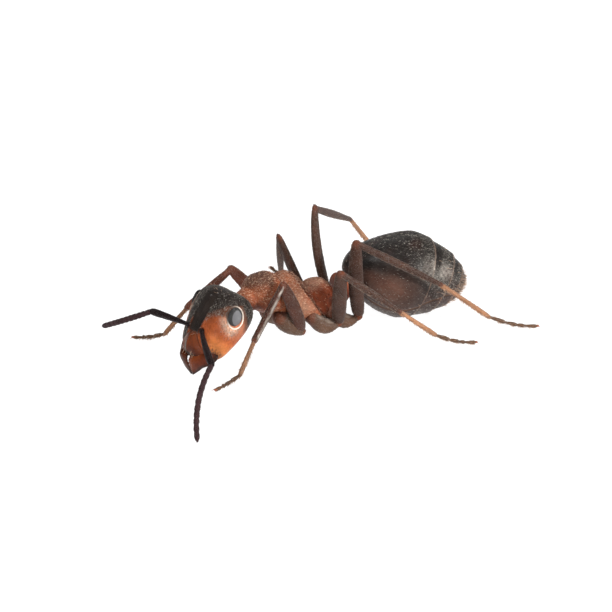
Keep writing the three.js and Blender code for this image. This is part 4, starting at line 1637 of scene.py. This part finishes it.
def bristles(roots, ways, lengths, widths, stand, curl=0.25):
    """Standing hairs: three-sided, tapered and curved over towards their way."""
    rise, run = np.sin(stand)[:, None], np.cos(stand)[:, None]
    ahead = roots.normals * rise + ways * run
    side = unit_rows(np.cross(ways, roots.normals))
    other = np.cross(ahead, side)
    rings = []
    for share, wide in ((-0.05, 1.0), (0.5, 0.75)):
        bent = (curl * share ** 2) * lengths[:, None] * ways
        middle = roots.points + ahead * (share * lengths)[:, None] + bent
        for angle in (90, 210, 330):
            turn = math.radians(angle)
            out = side * math.cos(turn) + other * math.sin(turn)
            rings.append(middle + out * (wide * widths / 2)[:, None])
    rings.append(roots.points + ahead * lengths[:, None] + curl * lengths[:, None] * ways)
    faces = [(0, 2, 1)]
    for near, far in ((0, 1), (1, 2), (2, 0)):
        faces += [(near, far, far + 3), (near, far + 3, near + 3), (near + 3, far + 3, 6)]
    return np.stack(rings, axis=1), tuple(faces)


def coat(name, batches, material):
    """One mesh of many hairs. A batch is its corners and faces, a colour and an unwrap spot for each."""
    points, faces, tints_of, spots = [], [], [], []
    offset = 0
    for (corners, shape), tint, unwrap in batches:
        count, each = corners.shape[:2]
        points.append(corners.reshape(-1, 3) * MM)
        starts = offset + each * np.arange(count)
        faces.append((starts[:, None, None] + np.array(shape)).reshape(-1, 3))
        tints_of.append(np.repeat(tint, each, axis=0))
        turn = np.arange(each) * (2 * math.pi / each)
        patch = 0.5 * PATCH * np.stack([np.cos(turn), np.sin(turn)], axis=1)
        spots.append((unwrap[:, None] + patch).reshape(-1, 2))
        offset += count * each
    points, faces = np.concatenate(points), np.concatenate(faces)
    mesh = bpy.data.meshes.new(name)
    mesh.vertices.add(len(points))
    mesh.vertices.foreach_set("co", points.ravel())
    mesh.loops.add(faces.size)
    mesh.loops.foreach_set("vertex_index", faces.ravel())
    mesh.polygons.add(len(faces))
    mesh.polygons.foreach_set("loop_start", np.arange(0, faces.size, 3))
    mesh.update(calc_edges=True)
    layer = mesh.uv_layers.new(name="OFBake")
    layer.data.foreach_set("uv", np.concatenate(spots)[faces.ravel()].ravel())
    marks = np.ones((len(points), 4))
    marks[:, :3] = np.concatenate(tints_of)
    mesh.attributes.new("tint", "FLOAT_COLOR", "POINT").data.foreach_set("color", marks.ravel())
    obj = bpy.data.objects.new(name, mesh)
    bpy.context.scene.collection.objects.link(obj)
    mesh.materials.append(material)
    pick(obj)
    bpy.ops.object.shade_smooth()
    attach(obj, "root")


def unwrapped(seat, half, points, cell=(0, 0), cells=1):
    """A spot's place on a seat's own unwrap: along it, and round it, in one cell of a grid."""
    ahead, left, up = seat.local(points).T
    along = np.clip(0.5 + 0.5 * ahead / half, 0, 1)
    turn = 0.5 + np.arctan2(left, up) / (2 * math.pi)
    place = np.stack([along, turn], axis=1) * (1 - 4 * PATCH) + 2 * PATCH
    return (np.array(cell) + place) / cells


def dressed(roots, down, share, painted_shine=0.0):
    """The hairs' colours: mostly near the skin's own, with a few painted brighter as glints."""
    # a few hairs are painted brighter, as glints
    painted_hair_glint = roots.random.random(len(roots.points)) ** 7
    share = np.clip(share + painted_shine * painted_hair_glint, 0, 1.4)[:, None]
    return np.maximum(roots.tint * (1 - share), 0) + down * share


def build_head_coat(size):
    tint = tints()
    half = size["head_length"] / 2
    head = bpy.data.objects["head_capsule"]
    flat = Roots(head, HEAD_ROOTS["flat"], 1)
    flat.keep(0.7 * flat.plush)
    ways = flat.combed(HEAD_SEAT.axes[0], 0.35)
    batches = [(
        slivers(flat, ways, flat.spread(0.05, 0.09), flat.spread(0.005, 0.009)),
        dressed(flat, tint["silver"], 0.2, 0.9),
        unwrapped(HEAD_SEAT, half, flat.points),
    )]
    tall = Roots(head, HEAD_ROOTS["tall"], 2)
    spots = HEAD_SEAT.local(tall.points)
    fringe = hump(spots[:, 0] - 1.0, 0.04) * ease(spots[:, 2], -0.1, 0.1)
    shield = ease(clypeus_inside(spots), 0.03, 0.1)
    throat = ease(-spots[:, 2], 0.3, 0.5) * 0.12
    crown = ease(-spots[:, 0], 0.45, 0.7) * ease(spots[:, 2], 0.0, 0.2) * 0.14
    tall.keep(np.clip(fringe + 0.08 * shield + throat + crown, 0, 1))
    batches.append((
        bristles(
            tall, tall.combed(HEAD_SEAT.axes[0], 0.3), tall.spread(0.07, 0.13),
            tall.spread(0.008, 0.011), tall.spread(0.7, 1.2),
        ),
        dressed(tall, tint["gold"], 0.7),
        unwrapped(HEAD_SEAT, half, tall.points),
    ))
    coat("head_down", batches, hair_finish("head_hair"))


def build_trunk_coat():
    tint = tints()
    batches = []
    for index, name in enumerate(("pronotum_plate", "mesothorax_plate", "propodeum_plate")):
        plate = bpy.data.objects[name]
        flat = Roots(plate, TRUNK_ROOTS["flat"], 10 + index)
        flat.keep(0.7 * flat.plush)
        ways = flat.combed(-TRUNK_SEAT.axes[0] - 0.4 * TRUNK_SEAT.axes[2], 0.3)
        batches.append((
            slivers(flat, ways, flat.spread(0.05, 0.1), flat.spread(0.005, 0.009)),
            dressed(flat, tint["gold"], 0.03, 1.7),
            unwrapped(TRUNK_SEAT, TRUNK_REACH, flat.points),
        ))
        tall = Roots(plate, TRUNK_ROOTS["tall"], 20 + index)
        tall.keep(ease(tall.normals[:, 2], 0.2, 0.6) * 0.5)
        batches.append((
            bristles(
                tall, tall.combed(-TRUNK_SEAT.axes[0], 0.3), tall.spread(0.06, 0.1),
                tall.spread(0.008, 0.011), tall.spread(0.9, 1.3),
            ),
            dressed(tall, tint["gold"], 0.7),
            unwrapped(TRUNK_SEAT, TRUNK_REACH, tall.points),
        ))
    coat("trunk_down", batches, hair_finish("trunk_hair"))


def build_gaster_coat(size):
    tint = tints()
    half = size["gaster_length"] / 2
    batches = []
    for index, name in enumerate(PLATES):
        plate = bpy.data.objects[f"gaster_plate_{name}"]
        flat = Roots(plate, GASTER_ROOTS["flat"][index], 30 + index)
        flat.keep(0.8 * flat.plush)
        ways = flat.combed(GASTER_SEAT.axes[0], 0.25)
        batches.append((
            slivers(flat, ways, flat.spread(0.035, 0.07), flat.spread(0.006, 0.009)),
            dressed(flat, tint["silver"] * 1.2, 0.04, 1.6),
            unwrapped(GASTER_SEAT, half, flat.points),
        ))
        tall = Roots(plate, GASTER_ROOTS["tall"], 40 + index)
        along = GASTER_SEAT.local(tall.points)[:, 0] / half
        near_hem = 0.0 if name == "tip" else hump(along - TERGITE_ENDS[index] + 0.07, 0.035)
        tail = 0.9 if index >= 3 else 0.0
        tall.keep(np.clip(0.3 * near_hem + 0.03 + tail, 0, 1))
        batches.append((
            bristles(
                tall, tall.combed(GASTER_SEAT.axes[0], 0.3), tall.spread(0.08, 0.14),
                tall.spread(0.008, 0.012), tall.spread(0.5, 1.0),
            ),
            dressed(tall, tint["gold"], 0.6),
            unwrapped(GASTER_SEAT, half, tall.points),
        ))
    coat("gaster_down", batches, hair_finish("gaster_hair"))


def limb_seat(line, way):
    """A seat at the middle of a limb, along it, for its unwrap."""
    return Seat(line.at(0.5), way, (0.01, 0.02, 1))


def build_leg_coat():
    """Short down along the legs, and the brushes under the shins and feet."""
    tint = tints()
    batches = []
    seed = 100
    for row, pair in enumerate(LEGS):
        for column, name in enumerate(SIDES):
            points = leg_points(pair, name)
            for begin, part in enumerate(("coxa", "femur", "tibia", "tarsus", "toes")):
                piece = bpy.data.objects[f"{part}_{pair}leg_{name}"]
                line = Line(points[begin], points[begin + 1])
                way = unit(line.end - line.start)
                place = limb_seat(line, way), line.length / 2
                cell = (row * 2 + column, begin)
                seed += 1
                flat = Roots(piece, int(LEG_ROOTS["flat"] * line.length), seed)
                lengths = flat.spread(0.035, 0.06)
                batches.append((
                    slivers(flat, flat.combed(way, 0.2), lengths, flat.spread(0.004, 0.007), 0.007),
                    dressed(flat, tint["silver"], 0.1, 0.6),
                    unwrapped(*place, flat.points, cell, LEG_CELLS),
                ))
                if part in ("coxa", "femur"):
                    continue
                seed += 1
                tall = Roots(piece, int(LEG_ROOTS["tall"] * line.length), seed)
                under = ease(-tall.normals[:, 2], 0.1, 0.7)
                small = 0.6 if part == "tibia" else 1.0
                tall.keep((0.12 + 0.8 * under) * small)
                batches.append((
                    bristles(
                        tall, tall.combed(way, 0.15), small * tall.spread(0.07, 0.12),
                        small * tall.spread(0.01, 0.014), small * tall.spread(0.4, 0.75), 0.1,
                    ),
                    dressed(tall, tint["gold"], 0.5),
                    unwrapped(*place, tall.points, cell, LEG_CELLS),
                ))
    coat("leg_down", batches, hair_finish("leg_hair"))


def build_feeler_coat():
    """Short down along the scapes and the beads."""
    tint = tints()
    batches = []
    for column, name in enumerate(SIDES):
        scape_line, line = feeler_lines(name)
        for row, (piece, run) in enumerate((
            (f"scape_shaft_{name}", scape_line),
            (f"funiculus_beads_base_{name}", line),
            (f"funiculus_beads_end_{name}", line),
        )):
            way = unit(run.end - run.start)
            flat = Roots(bpy.data.objects[piece], FEELER_ROOTS, 300 + 10 * column + row)
            ways = flat.combed(way, 0.2)
            batches.append((
                slivers(flat, ways, flat.spread(0.03, 0.05), flat.spread(0.004, 0.006)),
                dressed(flat, tint["silver"], 0.04),
                unwrapped(limb_seat(run, way), run.length / 2, flat.points, (column, row), FEELER_CELLS),
            ))
    coat("feeler_down", batches, hair_finish("feeler_hair"))


# ---- The stage ----
VIEW_BACK = towards(0.528, 0.727, 0.438)  # from the ant towards the camera
CAMERA = {"distance": 110, "lens": 246, "aim": (0, 0, 1.1), "shift": (0.018, -0.005)}
LIGHTS = {  # where each stands from the camera's aim, how wide it is, and its watts
    "key_light": {"place": (10, 10, 38), "size": 7, "watts": 0.008},
    "side_light": {"place": (-12, 36, 13), "size": 5, "watts": 0.013},
    "front_light": {"place": (34, 22, 16), "size": 6, "watts": 0.005},
    "back_light": {"place": (-20, -26, 26), "size": 20, "watts": 0.003},
}
GREY = (0.3, 0.3, 0.3, 1)
WHITE = (1, 1, 1, 1)


def aimed(obj, target):
    way = Vector(target) - obj.location
    obj.rotation_euler = way.to_track_quat("-Z", "Y").to_euler()


def area_light(name, place, size, watts):
    aim = at(*CAMERA["aim"])
    bpy.ops.object.light_add(type="AREA", location=tuple((aim + towards(*place)) * MM))
    lamp = named(name)
    lamp.data.shape = "DISK"
    lamp.data.size = size * MM
    lamp.data.energy = watts
    aimed(lamp, aim * MM)


def build_stage():
    fresh()
    bpy.ops.mesh.primitive_plane_add(size=2.0)
    floor = named("floor")
    floor.data.materials.append(Shade("white_floor").surface(
        Base_Color=GREY, Roughness=0.8, Emission_Color=WHITE, Emission_Strength=0.93
    ))
    aim = at(*CAMERA["aim"])
    bpy.ops.object.camera_add(location=tuple((aim + unit(VIEW_BACK) * CAMERA["distance"]) * MM))
    camera = named("main_camera")
    camera.data.lens = CAMERA["lens"]
    camera.data.sensor_width = 36
    camera.data.clip_start = 0.001
    camera.data.shift_x, camera.data.shift_y = CAMERA["shift"]
    aimed(camera, aim * MM)
    bpy.context.scene.camera = camera
    for name, light in LIGHTS.items():
        area_light(name, **light)
    world = bpy.data.worlds.new("white_studio")
    bpy.context.scene.world = world
    world.use_nodes = True
    sky = world.node_tree.nodes["Background"].inputs
    sky["Color"].default_value = WHITE
    sky["Strength"].default_value = 0.18
    bpy.context.scene.view_settings.view_transform = "Standard"


# ---- Operators, one for each group of pieces ----
class BuildHead(bpy.types.Operator):
    """Models the head capsule with its shield, ridges and simple eyes."""

    bl_idname = "ant.build_head"
    bl_label = "Head"
    bl_options = {"REGISTER", "UNDO"}

    def execute(self, context):
        build_head(sizes())
        return {"FINISHED"}


class BuildEyes(bpy.types.Operator):
    """Models the two compound eyes and the pale rings round them."""

    bl_idname = "ant.build_eyes"
    bl_label = "Eyes"
    bl_options = {"REGISTER", "UNDO"}

    def execute(self, context):
        build_eyes(sizes())
        return {"FINISHED"}


class BuildMandibles(bpy.types.Operator):
    """Models the two toothed mandibles."""

    bl_idname = "ant.build_mandibles"
    bl_label = "Mandibles"
    bl_options = {"REGISTER", "UNDO"}

    def execute(self, context):
        build_mandibles()
        return {"FINISHED"}


class BuildFeelers(bpy.types.Operator):
    """Models the scapes and the beads of the feelers."""

    bl_idname = "ant.build_feelers"
    bl_label = "Feelers"
    bl_options = {"REGISTER", "UNDO"}

    def execute(self, context):
        build_feelers(sizes())
        return {"FINISHED"}


class BuildTrunk(bpy.types.Operator):
    """Models the trunk's three plates and the petiole with its scale."""

    bl_idname = "ant.build_trunk"
    bl_label = "Trunk and petiole"
    bl_options = {"REGISTER", "UNDO"}

    def execute(self, context):
        build_trunk()
        build_petiole()
        return {"FINISHED"}


class BuildGaster(bpy.types.Operator):
    """Models the overlapping plates of the gaster."""

    bl_idname = "ant.build_gaster"
    bl_label = "Gaster"
    bl_options = {"REGISTER", "UNDO"}

    def execute(self, context):
        build_gaster(sizes())
        return {"FINISHED"}


class BuildLegs(bpy.types.Operator):
    """Models the six legs with their spurs, toes and claws."""

    bl_idname = "ant.build_legs"
    bl_label = "Legs"
    bl_options = {"REGISTER", "UNDO"}

    def execute(self, context):
        for pair, name in STANCE:
            build_leg(pair, name, sizes())
        return {"FINISHED"}


class BuildCoat(bpy.types.Operator):
    """Grows the down and the bristles on the finished pieces."""

    bl_idname = "ant.build_coat"
    bl_label = "Coat"
    bl_options = {"REGISTER", "UNDO"}

    def execute(self, context):
        build_head_coat(sizes())
        build_trunk_coat()
        build_gaster_coat(sizes())
        build_leg_coat()
        build_feeler_coat()
        return {"FINISHED"}


class BuildStage(bpy.types.Operator):
    """Sets up the white floor, the soft light and the camera."""

    bl_idname = "ant.build_stage"
    bl_label = "Stage"
    bl_options = {"REGISTER", "UNDO"}

    def execute(self, context):
        build_stage()
        return {"FINISHED"}


OPERATORS = (
    BuildHead, BuildEyes, BuildMandibles, BuildFeelers, BuildTrunk, BuildGaster, BuildLegs, BuildCoat,
    BuildStage,
)


class AntPanel(bpy.types.Panel):
    """The ant's settings and the buttons that build it."""

    bl_idname = "VIEW3D_PT_ant"
    bl_label = "Red Wood Ant"
    bl_space_type = "VIEW_3D"
    bl_region_type = "UI"
    bl_category = "Ant"

    def draw(self, context):
        for group in (context.scene.ant_sizes, context.scene.ant_finishes):
            box = self.layout.box()
            for key in group.__annotations__:
                box.prop(group, key)
        for operator in OPERATORS:
            self.layout.operator(operator.bl_idname)


CLASSES = (AntSizes, AntFinishes, *OPERATORS, AntPanel)


def register():
    for cls in CLASSES:
        bpy.utils.register_class(cls)
    bpy.types.Scene.ant_sizes = PointerProperty(type=AntSizes)
    bpy.types.Scene.ant_finishes = PointerProperty(type=AntFinishes)


def unregister():
    del bpy.types.Scene.ant_finishes
    del bpy.types.Scene.ant_sizes
    for cls in reversed(CLASSES):
        bpy.utils.unregister_class(cls)


def main():
    register()
    for operator in OPERATORS:
        group, action = operator.bl_idname.split(".")
        getattr(getattr(bpy.ops, group), action)()


if __name__ == "__main__":
    main()
